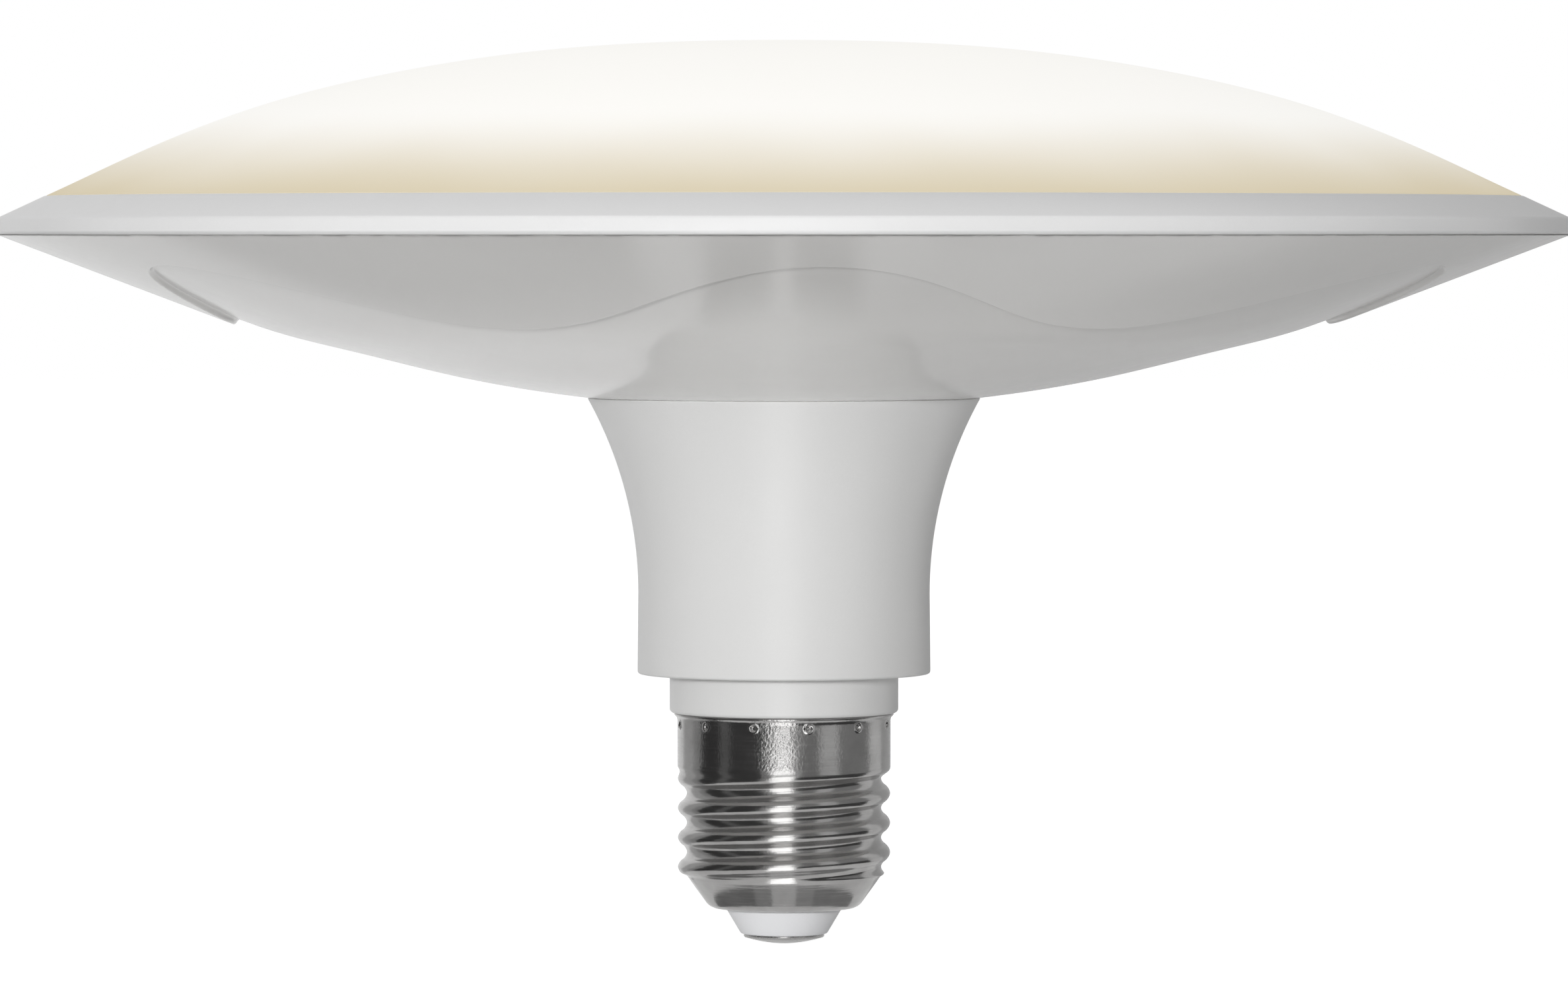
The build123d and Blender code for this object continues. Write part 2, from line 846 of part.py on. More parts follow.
with BuildPart() as transformer_winding:
    with BuildSketch(Plane.XY.offset(bobbin_bottom + 2 * bobbin_wall + slip)):
        with Locations(transformer_centre):
            RectangleRounded(winding_width, winding_depth, bobbin_wall)
            Rectangle(tube_width + slip, tube_depth + slip, mode=Mode.SUBTRACT)
    extrude(amount=bobbin_height - 4 * bobbin_wall - 2 * slip)

transformer_winding.part.label = "transformer_winding"
export_step(transformer_winding.part, "parts/transformer_winding.step")

# Smaller components of the driver board
with BuildPart() as film_capacitor:
    with BuildSketch(Plane.XZ.offset(-driver_front)):
        with Locations((0, driver_bottom + film_lift + film_height / 2)):
            Rectangle(film_length, film_height)
    extrude(amount=film_depth)
    fillet(film_capacitor.edges().filter_by(Axis.Y), film_round)

film_capacitor.part.label = "film_capacitor"
export_step(film_capacitor.part, "parts/film_capacitor.step")

with BuildPart() as bridge_rectifier:
    with BuildSketch(Plane.XZ.offset(-driver_back)):
        with Locations((0, driver_bottom + rectifier_lift)):
            Rectangle(rectifier_size, rectifier_size)
    extrude(amount=-rectifier_depth)
    chamfer(bridge_rectifier.faces().sort_by(Axis.Y)[-1].edges(), terminal_chamfer)

bridge_rectifier.part.label = "bridge_rectifier"
export_step(bridge_rectifier.part, "parts/bridge_rectifier.step")

with BuildPart() as driver_chip:
    with BuildSketch(Plane.XZ.offset(-driver_back)):
        with Locations((0, collar_top + chip_lift)):
            Rectangle(chip_length, chip_width)
    extrude(amount=-chip_depth)
    with BuildSketch(Plane.XZ.offset(-driver_back)):
        with Locations((0, collar_top + chip_lift)):
            with GridLocations(chip_length + chip_leg_pitch, chip_leg_pitch, 2, chip_leg_count):
                Rectangle(chip_leg_pitch, chip_leg_width)
    extrude(amount=-chip_leg_height)

driver_chip.part.label = "driver_chip"
export_step(driver_chip.part, "parts/driver_chip.step")

with BuildPart() as chip_resistors:
    with BuildSketch(Plane.XZ.offset(-driver_back)):
        with Locations((0, driver_top - chip_resistor_drop)):
            with GridLocations(chip_resistor_pitch, chip_resistor_pitch, 3, 2):
                Rectangle(chip_resistor_length, chip_resistor_width)
    extrude(amount=-chip_resistor_height)

chip_resistors.part.label = "chip_resistors"
export_step(chip_resistors.part, "parts/chip_resistors.step")

resistor_y = driver_front - slip - resistor_radius
resistor_height = driver_bottom + resistor_lift

with BuildPart() as fuse_resistor:
    with BuildSketch(Plane.YZ.offset(-resistor_length / 2)):
        with Locations((resistor_y, resistor_height)):
            Circle(resistor_radius)
    extrude(amount=resistor_length)
    with BuildSketch(Plane.YZ.offset(-resistor_length / 2 - pin_drop)):
        with Locations((resistor_y, resistor_height)):
            Circle(pin_radius)
    extrude(amount=resistor_length + 2 * pin_drop)
    for side in (-1, 1):
        with BuildSketch(Plane.XZ.offset(-driver_front)):
            with Locations((side * (resistor_length / 2 + pin_drop), resistor_height)):
                Circle(pin_radius)
        extrude(amount=resistor_radius + slip)

fuse_resistor.part.label = "fuse_resistor"
export_step(fuse_resistor.part, "parts/fuse_resistor.step")

# Output connector: an open-topped header on the board and the plug in it
header_y = driver_front - header_depth / 2
header_centre = (header_x, header_y)
header_bottom = driver_top - header_drop
pocket_width = header_width - 2 * header_wall
pocket_depth = header_depth - 2 * header_wall
pocket_floor = header_bottom + header_wall
connector_top = header_bottom + header_height + plug_show

with BuildPart() as output_header:
    with BuildSketch(Plane.XY.offset(header_bottom)):
        with Locations(header_centre):
            Rectangle(header_width, header_depth)
    extrude(amount=header_height)
    with BuildSketch(Plane.XY.offset(pocket_floor)):
        with Locations(header_centre):
            Rectangle(pocket_width, pocket_depth)
    extrude(amount=header_height, mode=Mode.SUBTRACT)

output_header.part.label = "output_header"
export_step(output_header.part, "parts/output_header.step")

with BuildPart() as output_plug:
    with BuildSketch(Plane.XY.offset(pocket_floor)):
        with Locations(header_centre):
            Rectangle(pocket_width - 2 * slip, pocket_depth - 2 * slip)
    extrude(amount=connector_top - pocket_floor)

output_plug.part.label = "output_plug"
export_step(output_plug.part, "parts/output_plug.step")


def wire(points, bends, radius):
    """A round wire swept along straight runs joined by arcs."""
    with BuildPart() as lead:
        with BuildLine() as route:
            FilletPolyline(*points, radius=bends)
        path = route.wires()[0]
        with BuildSketch(Plane(origin=path @ 0, z_dir=path % 0)):
            Circle(radius)
        sweep(path=path)
    return lead


# Direct-current leads, from the plug up through the boards' hole to the terminal block
terminal_level = led_board_top + terminal_wire_height
hole_level = spreader_bottom - spreader_thickness


def dc_lead(side, rise, drop):
    """One lead: off the plug, across to the hole, up through it and level to the terminal block."""
    start_x = header_x + side * plug_wire_spread
    end_y = side * dc_lead_spread
    points = [
        (start_x, header_y, connector_top),
        (start_x, header_y, connector_top + rise),
        (0, end_y, hole_level - drop),
        (0, end_y, terminal_level),
        (terminal_face, end_y, terminal_level),
    ]
    return wire(points, dc_bend_radius, dc_lead_radius)


positive_lead = dc_lead(-1, positive_rise, positive_drop)
positive_lead.part.label = "positive_lead"
export_step(positive_lead.part, "parts/positive_lead.step")

negative_lead = dc_lead(1, negative_rise, negative_drop)
negative_lead.part.label = "negative_lead"
export_step(negative_lead.part, "parts/negative_lead.step")

# Mains leads, from the board's foot to the contact's stem and to the shell's inner wall
lead_drop = (driver_bottom - stem_top) / 3
shell_inside = crest_radius - sheet - shell_lead_gap

live_lead = wire(
    [
        (-mains_lead_x, driver_middle, driver_bottom),
        (-mains_lead_x, driver_middle, driver_bottom - lead_drop),
        (0, 0, stem_top + lead_drop),
        (0, 0, stem_top),
    ],
    mains_bend_radius,
    lead_radius,
)
live_lead.part.label = "live_lead"
export_step(live_lead.part, "parts/live_lead.step")

neutral_lead = wire(
    [
        (mains_lead_x, driver_middle, driver_bottom),
        (mains_lead_x, driver_middle, driver_bottom - lead_drop),
        (shell_inside - mains_lead_x, 0, groove_height),
        (shell_inside, 0, groove_height),
    ],
    mains_bend_radius,
    lead_radius,
)
neutral_lead.part.label = "neutral_lead"
export_step(neutral_lead.part, "parts/neutral_lead.step")
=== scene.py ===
import json
import logging
import math
from abc import ABC, abstractmethod
from dataclasses import dataclass, field
from enum import Enum
from typing import ClassVar, Optional, Sequence

import bmesh
import bpy
from mathutils import Matrix, Vector


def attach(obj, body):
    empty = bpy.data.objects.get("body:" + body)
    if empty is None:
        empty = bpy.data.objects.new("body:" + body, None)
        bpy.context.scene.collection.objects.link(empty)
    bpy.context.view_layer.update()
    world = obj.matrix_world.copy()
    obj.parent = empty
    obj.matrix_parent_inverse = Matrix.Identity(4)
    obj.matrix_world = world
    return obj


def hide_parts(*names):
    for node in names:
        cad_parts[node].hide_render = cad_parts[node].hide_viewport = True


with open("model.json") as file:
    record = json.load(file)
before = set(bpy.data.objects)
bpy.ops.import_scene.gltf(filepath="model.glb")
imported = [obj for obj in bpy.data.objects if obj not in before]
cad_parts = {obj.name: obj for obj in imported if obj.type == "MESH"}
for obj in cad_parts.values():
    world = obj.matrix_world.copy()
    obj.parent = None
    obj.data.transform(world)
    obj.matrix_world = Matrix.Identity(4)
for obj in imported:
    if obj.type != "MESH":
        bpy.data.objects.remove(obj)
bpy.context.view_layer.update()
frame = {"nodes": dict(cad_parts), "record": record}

LOG = logging.getLogger("lamp")

# Sizes are written in millimetres, and each finished mesh is brought to metres.
MM = 0.001
FULL_TURN = 2 * math.pi
SAME_PLACE = 1e-5
EDGE_FACES = 4
ROUND_AXIS = {"cent": (0, 0, 0), "axis": (0, 0, 1), "dvec": (0, 0, 0)}

# The colour sockets of a Mix node, which shares their names with others
MIX_FIRST, MIX_SECOND, MIX_RESULT = 6, 7, 2

Colour = Spot = tuple[float, float, float]
Point = tuple[float, float]
Mesh = bmesh.types.BMesh
Material = bpy.types.Material
Socket = bpy.types.NodeSocket


def fade(value: float) -> float:
    """A smooth step from 0, at 0 or less, to 1, at 1 or more."""
    share = min(1.0, max(0.0, value))
    return share * share * (3 - 2 * share)


def spread(first: float, last: float, count: int) -> list[float]:
    """Evenly spaced numbers, both ends included, with a count of steps between them."""
    return [first + (last - first) * step / count for step in range(count + 1)]


def tinted(colour: Colour, factor: float) -> Colour:
    """A colour made lighter or darker by a factor."""
    return tuple(part * factor for part in colour)


class Curve:
    """A smooth height over a radius, through given points, with given slopes at both ends."""

    def __init__(self, points: Sequence[Point], slopes: Point) -> None:
        """Solves the clamped cubic spline.

        Args:
            points: Radius and height of each point, in order.
            slopes: The slope at the first and at the last point.
        """
        self.points = points
        size = len(points)
        gaps = [points[i + 1][0] - points[i][0] for i in range(size - 1)]
        rises = [(points[i + 1][1] - points[i][1]) / gaps[i] for i in range(size - 1)]
        diagonal = [2 * gaps[0]]
        right = [6 * (rises[0] - slopes[0])]
        for i in range(1, size - 1):
            share = gaps[i - 1] / diagonal[-1]
            diagonal.append(2 * (gaps[i - 1] + gaps[i]) - share * gaps[i - 1])
            right.append(6 * (rises[i] - rises[i - 1]) - share * right[-1])
        share = gaps[-1] / diagonal[-1]
        diagonal.append(2 * gaps[-1] - share * gaps[-1])
        right.append(6 * (slopes[1] - rises[-1]) - share * right[-1])
        self.bends = [right[-1] / diagonal[-1]]
        for i in range(size - 2, -1, -1):
            self.bends.insert(0, (right[i] - gaps[i] * self.bends[0]) / diagonal[i])

    def height(self, radius: float) -> float:
        """The curve's height.

        Args:
            radius: A radius within the points' range.

        Returns:
            The height there.
        """
        place = 0
        while place < len(self.points) - 2 and radius > self.points[place + 1][0]:
            place += 1
        (x0, y0), (x1, y1) = self.points[place], self.points[place + 1]
        gap = x1 - x0
        left, right = (x1 - radius) / gap, (radius - x0) / gap
        bend = (left**3 - left) * self.bends[place] + (right**3 - right) * self.bends[place + 1]
        return left * y0 + right * y1 + bend * gap * gap / 6


@dataclass(frozen=True)
class Corner:
    """A point of a turned piece's outline, with the radius that breaks its edge."""

    radius: float
    height: float
    round: float = 0.0


def corners(*places: Sequence[float]) -> list[Corner]:
    """Corners from radius, height and, where the edge is broken, its rounding."""
    return [Corner(*place) for place in places]


def arc(centre: Point, radius: float, start: float, end: float, steps: int) -> list[Corner]:
    """Corners along an arc, from one angle to another, 0 degrees pointing away from the axis and 90 up."""
    angles = spread(math.radians(start), math.radians(end), steps)
    return [Corner(centre[0] + radius * math.cos(a), centre[1] + radius * math.sin(a)) for a in angles]


def lathe(outline: Sequence[Corner], steps: int, wall: bool = True) -> Mesh:
    """Breaks an outline's edges and turns it round the lamp's axis into a shell.

    Args:
        outline: The corners in order.
        steps: Faces round one full turn.
        wall: Whether the outline closes on itself.

    Returns:
        The turned mesh, in millimetres.
    """
    bm = bmesh.new()
    verts = [bm.verts.new((corner.radius, 0, corner.height)) for corner in outline]
    bm.faces.new(verts)
    closing = [] if wall else [bm.edges.get((verts[0], verts[-1]))]
    rounds: dict[float, list[bmesh.types.BMVert]] = {}
    for vert, corner in zip(verts, outline):
        if corner.round > 0:
            rounds.setdefault(corner.round, []).append(vert)
    for size, broken in rounds.items():
        bmesh.ops.bevel(
            bm, geom=broken, offset=size, segments=EDGE_FACES, profile=0.5,
            affect="VERTICES", clamp_overlap=True, material=-1,
        )
    bmesh.ops.delete(bm, geom=bm.faces[:], context="FACES_ONLY")
    bmesh.ops.delete(bm, geom=closing, context="EDGES")
    on_axis = [e for e in bm.edges if all(abs(v.co.x) < SAME_PLACE for v in e.verts)]
    bmesh.ops.delete(bm, geom=on_axis, context="EDGES")
    line = bm.verts[:] + bm.edges[:]
    bmesh.ops.spin(bm, geom=line, angle=FULL_TURN, steps=steps, use_merge=True, **ROUND_AXIS)
    bmesh.ops.remove_doubles(bm, verts=bm.verts, dist=SAME_PLACE)
    bmesh.ops.recalc_face_normals(bm, faces=bm.faces)
    return bm


def placed(name: str, data: bpy.types.ID) -> bpy.types.Object:
    """Adds an object to the scene.

    Args:
        name: Its name.
        data: Its mesh, lamp or camera.

    Returns:
        The object.
    """
    made = bpy.data.objects.new(name, data)
    bpy.context.scene.collection.objects.link(made)
    return made


def meshed(name: str, bm: Mesh, material: Material) -> bpy.types.Object:
    """Adds a mesh to the scene and frees what it was built in.

    Args:
        name: The object's name.
        bm: Its shape.
        material: Its material.

    Returns:
        The object.
    """
    data = bpy.data.meshes.new(name)
    bm.to_mesh(data)
    bm.free()
    data.materials.append(material)
    return placed(name, data)


class Nodes:
    """A tree of shader nodes, added and joined in few words."""

    def __init__(self, tree: bpy.types.NodeTree) -> None:
        """Empties the node tree of a material or of the world."""
        self.tree = tree
        tree.nodes.clear()

    def feed(self, target: Socket, value: object) -> None:
        """Links an input to an output, or writes a plain value on it.

        Args:
            target: The input.
            value: An output, a number, a vector or a colour.
        """
        if isinstance(value, Socket):
            self.tree.links.new(value, target)
        else:
            target.default_value = (*value, 1) if target.type == "RGBA" else value

    def add(
        self, kind: str, inputs: Optional[dict[str | int, object]] = None, **settings: object
    ) -> bpy.types.NodeOutputs:
        """Adds a node.

        Args:
            kind: The node's type, without the words that all types begin with.
            inputs: What feeds each input.
            settings: The node's properties.

        Returns:
            The node's outputs.
        """
        node = self.tree.nodes.new(f"ShaderNode{kind}")
        for name, value in settings.items():
            setattr(node, name, value)
        for name, value in (inputs or {}).items():
            self.feed(node.inputs[name], value)
        return node.outputs

    def maths(self, operation: str, first: Socket, second: Socket | float = 0.0) -> Socket:
        """The result of a sum of a socket with a socket or a number."""
        return self.add("Math", {0: first, 1: second}, operation=operation)["Value"]

    def ranged(
        self, source: Socket, low: float, high: float, start: float, end: float, smooth: bool = False
    ) -> Socket:
        """Maps a stretch of a value to another stretch.

        Args:
            source: The value.
            low: Where the stretch starts.
            high: Where it ends.
            start: The result at low.
            end: The result at high.
            smooth: Whether the result eases in and out.

        Returns:
            The mapped value.
        """
        inputs = {"Value": source, "From Min": low, "From Max": high, "To Min": start, "To Max": end}
        kind = "SMOOTHSTEP" if smooth else "LINEAR"
        return self.add("MapRange", inputs, interpolation_type=kind)["Result"]


class Board(Nodes):
    """The shader nodes of one material."""

    def __init__(self, name: str) -> None:
        """Makes an empty material.

        Args:
            name: The material's name.
        """
        self.material = bpy.data.materials.new(name)
        self.material.use_nodes = True
        super().__init__(self.material.node_tree)
        self.coordinates = self.add("TexCoord")["Object"]

    def show(self, shader: Socket) -> None:
        """Lays a shader on the material's surface."""
        self.add("OutputMaterial", {"Surface": shader})

    def principled(self, **values: object) -> None:
        """Lays on a Principled shader, an underscore in an input's name standing for a space."""
        inputs = {name.replace("_", " "): value for name, value in values.items()}
        self.show(self.add("BsdfPrincipled", inputs)["BSDF"])

    def noise(self, size: float, detail: float = 2.0, stretch: Optional[Sequence[float]] = None) -> Socket:
        """A noise pattern on object coordinates.

        Args:
            size: The size of one patch in millimetres.
            detail: How many finer layers it has.
            stretch: How much denser it is along each axis.

        Returns:
            Its value from 0 to 1.
        """
        place = self.coordinates
        if stretch:
            place = self.add("Mapping", {"Scale": stretch, "Vector": place})["Vector"]
        return self.add("TexNoise", {"Scale": 1 / (size * MM), "Detail": detail, "Vector": place})["Fac"]

    def cells(self, size: float) -> Socket:
        """Distance to the nearest cell centre in a pattern of cells of a size in millimetres."""
        return self.add("TexVoronoi", {"Scale": 1 / (size * MM), "Vector": self.coordinates})["Distance"]

    def part(self, axis: str) -> Socket:
        """One of the object coordinates, X, Y or Z, in metres."""
        return self.add("SeparateXYZ", {"Vector": self.coordinates})[axis]

    def waves(self, axis: str, pitch: float) -> Socket:
        """A sine wave along an axis, with its pitch in millimetres."""
        return self.maths("SINE", self.maths("MULTIPLY", self.part(axis), FULL_TURN / (pitch * MM)))

    def axis_distance(self) -> Socket:
        """Distance from the lamp's axis, in metres."""
        squares = [self.maths("MULTIPLY", part, part) for part in (self.part("X"), self.part("Y"))]
        return self.maths("SQRT", self.maths("ADD", *squares))

    def eased(self, source: Socket, ends: Point, start: float, end: float) -> Socket:
        """Eases from one value to another between two distances in millimetres."""
        return self.ranged(source, ends[0] * MM, ends[1] * MM, start, end, smooth=True)

    def uneven(
        self, level: float, change: float, size: float, detail: float = 2.0, half: float = 0.2
    ) -> Socket:
        """A level that drifts by a share of itself over the noise within a half range of 0.5."""
        patches = self.noise(size, detail)
        return self.ranged(patches, 0.5 - half, 0.5 + half, level * (1 - change), level * (1 + change))

    def mix(self, share: Socket, first: Colour | Socket, second: Colour | Socket) -> Socket:
        """Blends two colours by a share, 0 giving the first and 1 the second."""
        inputs = {"Factor": share, MIX_FIRST: first, MIX_SECOND: second}
        return self.add("Mix", inputs, data_type="RGBA")[MIX_RESULT]

    def bump(self, height: Socket, depth: float, under: Optional[Socket] = None) -> Socket:
        """Turns a height pattern into a relief.

        Args:
            height: The pattern.
            depth: The relief's depth in millimetres.
            under: A relief that lies below this one.

        Returns:
            The normal.
        """
        inputs = {"Height": height, "Distance": depth * MM, "Strength": 1.0}
        if under is not None:
            inputs["Normal"] = under
        return self.add("Bump", inputs)["Normal"]


class Finish(ABC):
    """A finish that can be made into a material."""

    @abstractmethod
    def paint(self, board: Board) -> None:
        """Lays the finish on an empty material's board."""

    def material(self, name: str) -> Material:
        """Makes the finish's material.

        Args:
            name: The material's name.

        Returns:
            The material.
        """
        board = Board(name)
        self.paint(board)
        return board.material


@dataclass(frozen=True)
class Moulding(Finish):
    """Injection-moulded plastic with a fine satin grain, slight tone changes and, where a shift is given,
    painted light near the axis.
    """

    colour: Colour
    roughness: float
    grain_depth: float = 0.001
    painted_light_shift: float = 0.0
    painted_light_ends: Point = (56.0, 84.0)
    grain: float = 0.28
    flow: float = 9.0
    tone: float = 0.02

    def paint(self, board: Board) -> None:
        """Lays on the plastic, with painted light making it lighter near the axis where a shift is given.

        Args:
            board: The material's board.
        """
        darker = tinted(self.colour, 1 - self.tone)
        flow = board.ranged(board.noise(self.flow, 3.0), 0.3, 0.7, 0, 1)
        speck = board.ranged(board.noise(self.grain), 0.3, 0.7, 0, 1)
        plain = board.mix(flow, darker, board.mix(speck, darker, self.colour))
        # Painted light: the colour grows lighter towards the axis.
        if self.painted_light_shift:
            middle = board.eased(board.axis_distance(), self.painted_light_ends, 1, 0)
            plain = board.mix(middle, plain, tinted(self.colour, 1 + self.painted_light_shift))
        board.principled(
            Base_Color=plain,
            Roughness=board.uneven(self.roughness, 0.08, 2.5, 3.0, 0.25),
            Normal=board.bump(board.noise(self.grain, 3.0), self.grain_depth),
        )


@dataclass(frozen=True)
class OpalGlow(Finish):
    """Opal plastic lit from inside: brightest over the board, dimmer and warmer towards its edge, partly as
    its glow falls off and partly as painted shade at the dome's edge.
    """

    colour: Colour
    shaded_rim_colour: Colour
    core: Colour
    rim: Colour
    glow_ends: Point
    strength: float
    roughness: float
    drift: float = 2.0
    drift_size: float = 22.0

    def paint(self, board: Board) -> None:
        """Lays on the lit opal.

        Args:
            board: The material's board.
        """
        drift = board.ranged(board.noise(self.drift_size, 1.0), 0, 1, -self.drift * MM, self.drift * MM)
        # Painted shade: colour and glow grow darker and warmer towards the rim, partly the glow's own
        # fall-off away from the board.
        edge = board.eased(board.maths("ADD", board.axis_distance(), drift), self.glow_ends, 0, 1)
        board.principled(
            Base_Color=board.mix(edge, self.colour, self.shaded_rim_colour),
            Emission_Color=board.mix(edge, self.core, self.rim),
            Emission_Strength=self.strength,
            Roughness=board.uneven(self.roughness, 0.06, 3.0),
            Specular_IOR_Level=0.0,
            Normal=board.bump(board.noise(0.4), 0.003),
        )


@dataclass(frozen=True)
class PlatedSheet(Finish):
    """Nickel-plated rolled sheet: streaks round the cap, handling marks and a frosted patch."""

    colour: Colour
    dull: Colour
    roughness: float
    frost_depth: float = 0.06
    patch_middle: float = -0.9
    patch_sides: Point = (1.2, 3.2)
    patch_front: Point = (-9.0, -6.0)
    skirt_foot: Point = (21.6, 22.6)

    def paint(self, board: Board) -> None:
        """Lays on the plating, with its patch in front and mostly on the skirt.

        Args:
            board: The material's board.
        """
        cloud = board.ranged(board.noise(3.2, 4.0), 0.35, 0.7, 0, 1)
        streak = board.noise(1.6, 3.0, stretch=(0.35, 0.35, 7.0))
        aside = board.maths("ABSOLUTE", board.maths("ADD", board.part("X"), -self.patch_middle * MM))
        patch = board.eased(aside, self.patch_sides, 1, 0.3)
        patch = board.maths("MULTIPLY", patch, board.eased(board.part("Y"), self.patch_front, 1, 0.3))
        patch = board.maths("MULTIPLY", patch, board.eased(board.part("Z"), self.skirt_foot, 0.15, 1))
        crackle = board.maths("MULTIPLY", board.noise(0.3, 3.0, stretch=(1.0, 1.0, 0.8)), patch)
        frost = board.bump(crackle, self.frost_depth)
        board.principled(
            Base_Color=board.mix(cloud, self.colour, self.dull),
            Metallic=1.0,
            Roughness=board.ranged(streak, 0.35, 0.75, self.roughness * 0.8, self.roughness * 1.45),
            Normal=board.bump(streak, self.frost_depth * 0.2, under=frost),
        )


@dataclass(frozen=True)
class Metal(Finish):
    """Bare or plated metal with a rolled or turned grain."""

    colour: Colour
    roughness: float
    grain: float = 0.5
    stretch: Spot = (1.0, 6.0, 1.0)
    depth: float = 0.004

    def paint(self, board: Board) -> None:
        """Lays on the metal.

        Args:
            board: The material's board.
        """
        grain = board.noise(self.grain, 4.0, stretch=self.stretch)
        tarnish = board.ranged(board.noise(6.0, 3.0), 0.35, 0.7, 0, 1)
        board.principled(
            Base_Color=board.mix(tarnish, self.colour, tinted(self.colour, 0.85)),
            Metallic=1.0,
            Roughness=board.ranged(grain, 0.3, 0.7, self.roughness * 0.8, self.roughness * 1.25),
            Normal=board.bump(grain, self.depth),
        )


class Weave(Enum):
    """What pattern a component's surface carries."""

    PLAIN = "plain"
    GLASS_CLOTH = "glass cloth"
    TURNS = "turns of wire"
    CELLS = "cells"


@dataclass(frozen=True)
class Component(Finish):
    """A finish for the driver's and the board's components."""

    colour: Colour
    roughness: float
    weave: Weave = Weave.PLAIN
    second: Optional[Colour] = None
    pitch: float = 0.5
    metallic: float = 0.0
    relief: float = 0.01

    def pattern(self, board: Board) -> Socket:
        """The height pattern that the weave asks for.

        Args:
            board: The material's board.

        Returns:
            The pattern.
        """
        if self.weave is Weave.TURNS:
            return board.waves("Z", self.pitch)
        if self.weave is Weave.GLASS_CLOTH:
            return board.maths("MULTIPLY", board.waves("X", self.pitch), board.waves("Z", self.pitch))
        if self.weave is Weave.CELLS:
            return board.cells(self.pitch)
        return board.noise(self.pitch, 3.0)

    def paint(self, board: Board) -> None:
        """Lays on the component's two colours and its relief.

        Args:
            board: The material's board.
        """
        height = self.pattern(board)
        low = -1.0 if self.weave in (Weave.TURNS, Weave.GLASS_CLOTH) else 0.2
        shade = board.ranged(height, low, 0.8, 0, 1)
        board.principled(
            Base_Color=board.mix(shade, self.second or tinted(self.colour, 0.8), self.colour),
            Metallic=self.metallic,
            Roughness=board.uneven(self.roughness, 0.1, 1.5),
            Normal=board.bump(height, self.relief),
        )


# Finishes of the pieces that show
# The rim colour and rim glow are partly painted shade at the dome's edge.
OPAL = OpalGlow(
    colour=(0.25, 0.245, 0.235), shaded_rim_colour=(0.24, 0.215, 0.165), core=(0.985, 0.975, 0.945),
    rim=(0.62, 0.54, 0.37), glow_ends=(67.0, 95.0), strength=0.8, roughness=0.4,
)
BEZEL_WHITE = Moulding(colour=(0.765, 0.765, 0.765), roughness=0.3, grain_depth=0.0008)
# The dish carries painted light, lighter towards its middle.
DISH_WHITE = Moulding(colour=(0.68, 0.673, 0.66), roughness=0.14, grain_depth=0.0008, painted_light_shift=0.14)
NECK_WHITE = Moulding(colour=(0.74, 0.74, 0.735), roughness=0.36, grain_depth=0.0015)
COLLAR_WHITE = Moulding(colour=(0.74, 0.74, 0.735), roughness=0.34)
INSULATOR_WHITE = Moulding(colour=(0.88, 0.885, 0.9), roughness=0.4)
CAP_NICKEL = PlatedSheet(colour=(0.47, 0.465, 0.46), dull=(0.4, 0.395, 0.39), roughness=0.17)
CONTACT_NICKEL = Metal(colour=(0.45, 0.445, 0.44), roughness=0.25, grain=0.6, stretch=(1.0, 5.0, 1.0))

# Finishes of the pieces inside, by the record's slot
INNER_FINISHES: dict[str, Finish] = {
    "spreader_aluminium": Metal((0.75, 0.75, 0.76), 0.38),
    "board_white": Component((0.84, 0.84, 0.82), 0.3, second=(0.8, 0.8, 0.78), pitch=0.4),
    "phosphor_yellow": Component((0.9, 0.72, 0.22), 0.35, Weave.CELLS, (0.85, 0.62, 0.14), 0.15),
    "screw_steel": Metal((0.62, 0.62, 0.63), 0.3, stretch=(1.0, 1.0, 5.0)),
    "connector_white": Component((0.84, 0.82, 0.76), 0.42, pitch=0.35),
    "laminate_green": Component((0.03, 0.17, 0.07), 0.3, Weave.GLASS_CLOTH, (0.02, 0.12, 0.05), 0.7),
    "capacitor_sleeve": Component((0.035, 0.04, 0.06), 0.28, pitch=1.2),
    "ferrite_grey": Component((0.06, 0.06, 0.065), 0.55, Weave.CELLS, pitch=0.25),
    "component_black": Component((0.02, 0.02, 0.022), 0.5, pitch=0.2),
    "copper_enamel": Component((0.6, 0.25, 0.09), 0.3, Weave.TURNS, (0.3, 0.1, 0.03), 0.35, 0.8),
    "film_yellow": Component((0.75, 0.42, 0.03), 0.32, pitch=0.6),
    "resistor_tan": Component((0.48, 0.3, 0.15), 0.4),
    "wire_red": Component((0.42, 0.015, 0.012), 0.4, pitch=0.8),
    "wire_black": Component((0.016, 0.016, 0.018), 0.4, pitch=0.8),
    "wire_brown": Component((0.1, 0.035, 0.015), 0.4, pitch=0.8),
    "wire_blue": Component((0.015, 0.05, 0.28), 0.4, pitch=0.8),
}


@dataclass
class Piece(ABC):
    """A piece of the lamp that shows, which stands for a CAD node of the same name."""

    node: ClassVar[str]
    slot: ClassVar[str]
    finish: ClassVar[Finish]
    crease: ClassVar[float] = 38.0

    @abstractmethod
    def mesh(self) -> Mesh:
        """Builds the piece's mesh in millimetres."""

    def build(self) -> None:
        """Makes the finished piece, on its body and in its finish."""
        bm = self.mesh()
        bmesh.ops.scale(bm, vec=(MM, MM, MM), verts=bm.verts)
        piece = meshed(f"{self.node}_looks", bm, self.finish.material(self.slot))
        piece.data.shade_smooth()
        piece.data.set_sharp_from_angle(angle=math.radians(self.crease))
        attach(piece, "root")
        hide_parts(self.node)
        LOG.info("%s: %d faces", piece.name, len(piece.data.polygons))


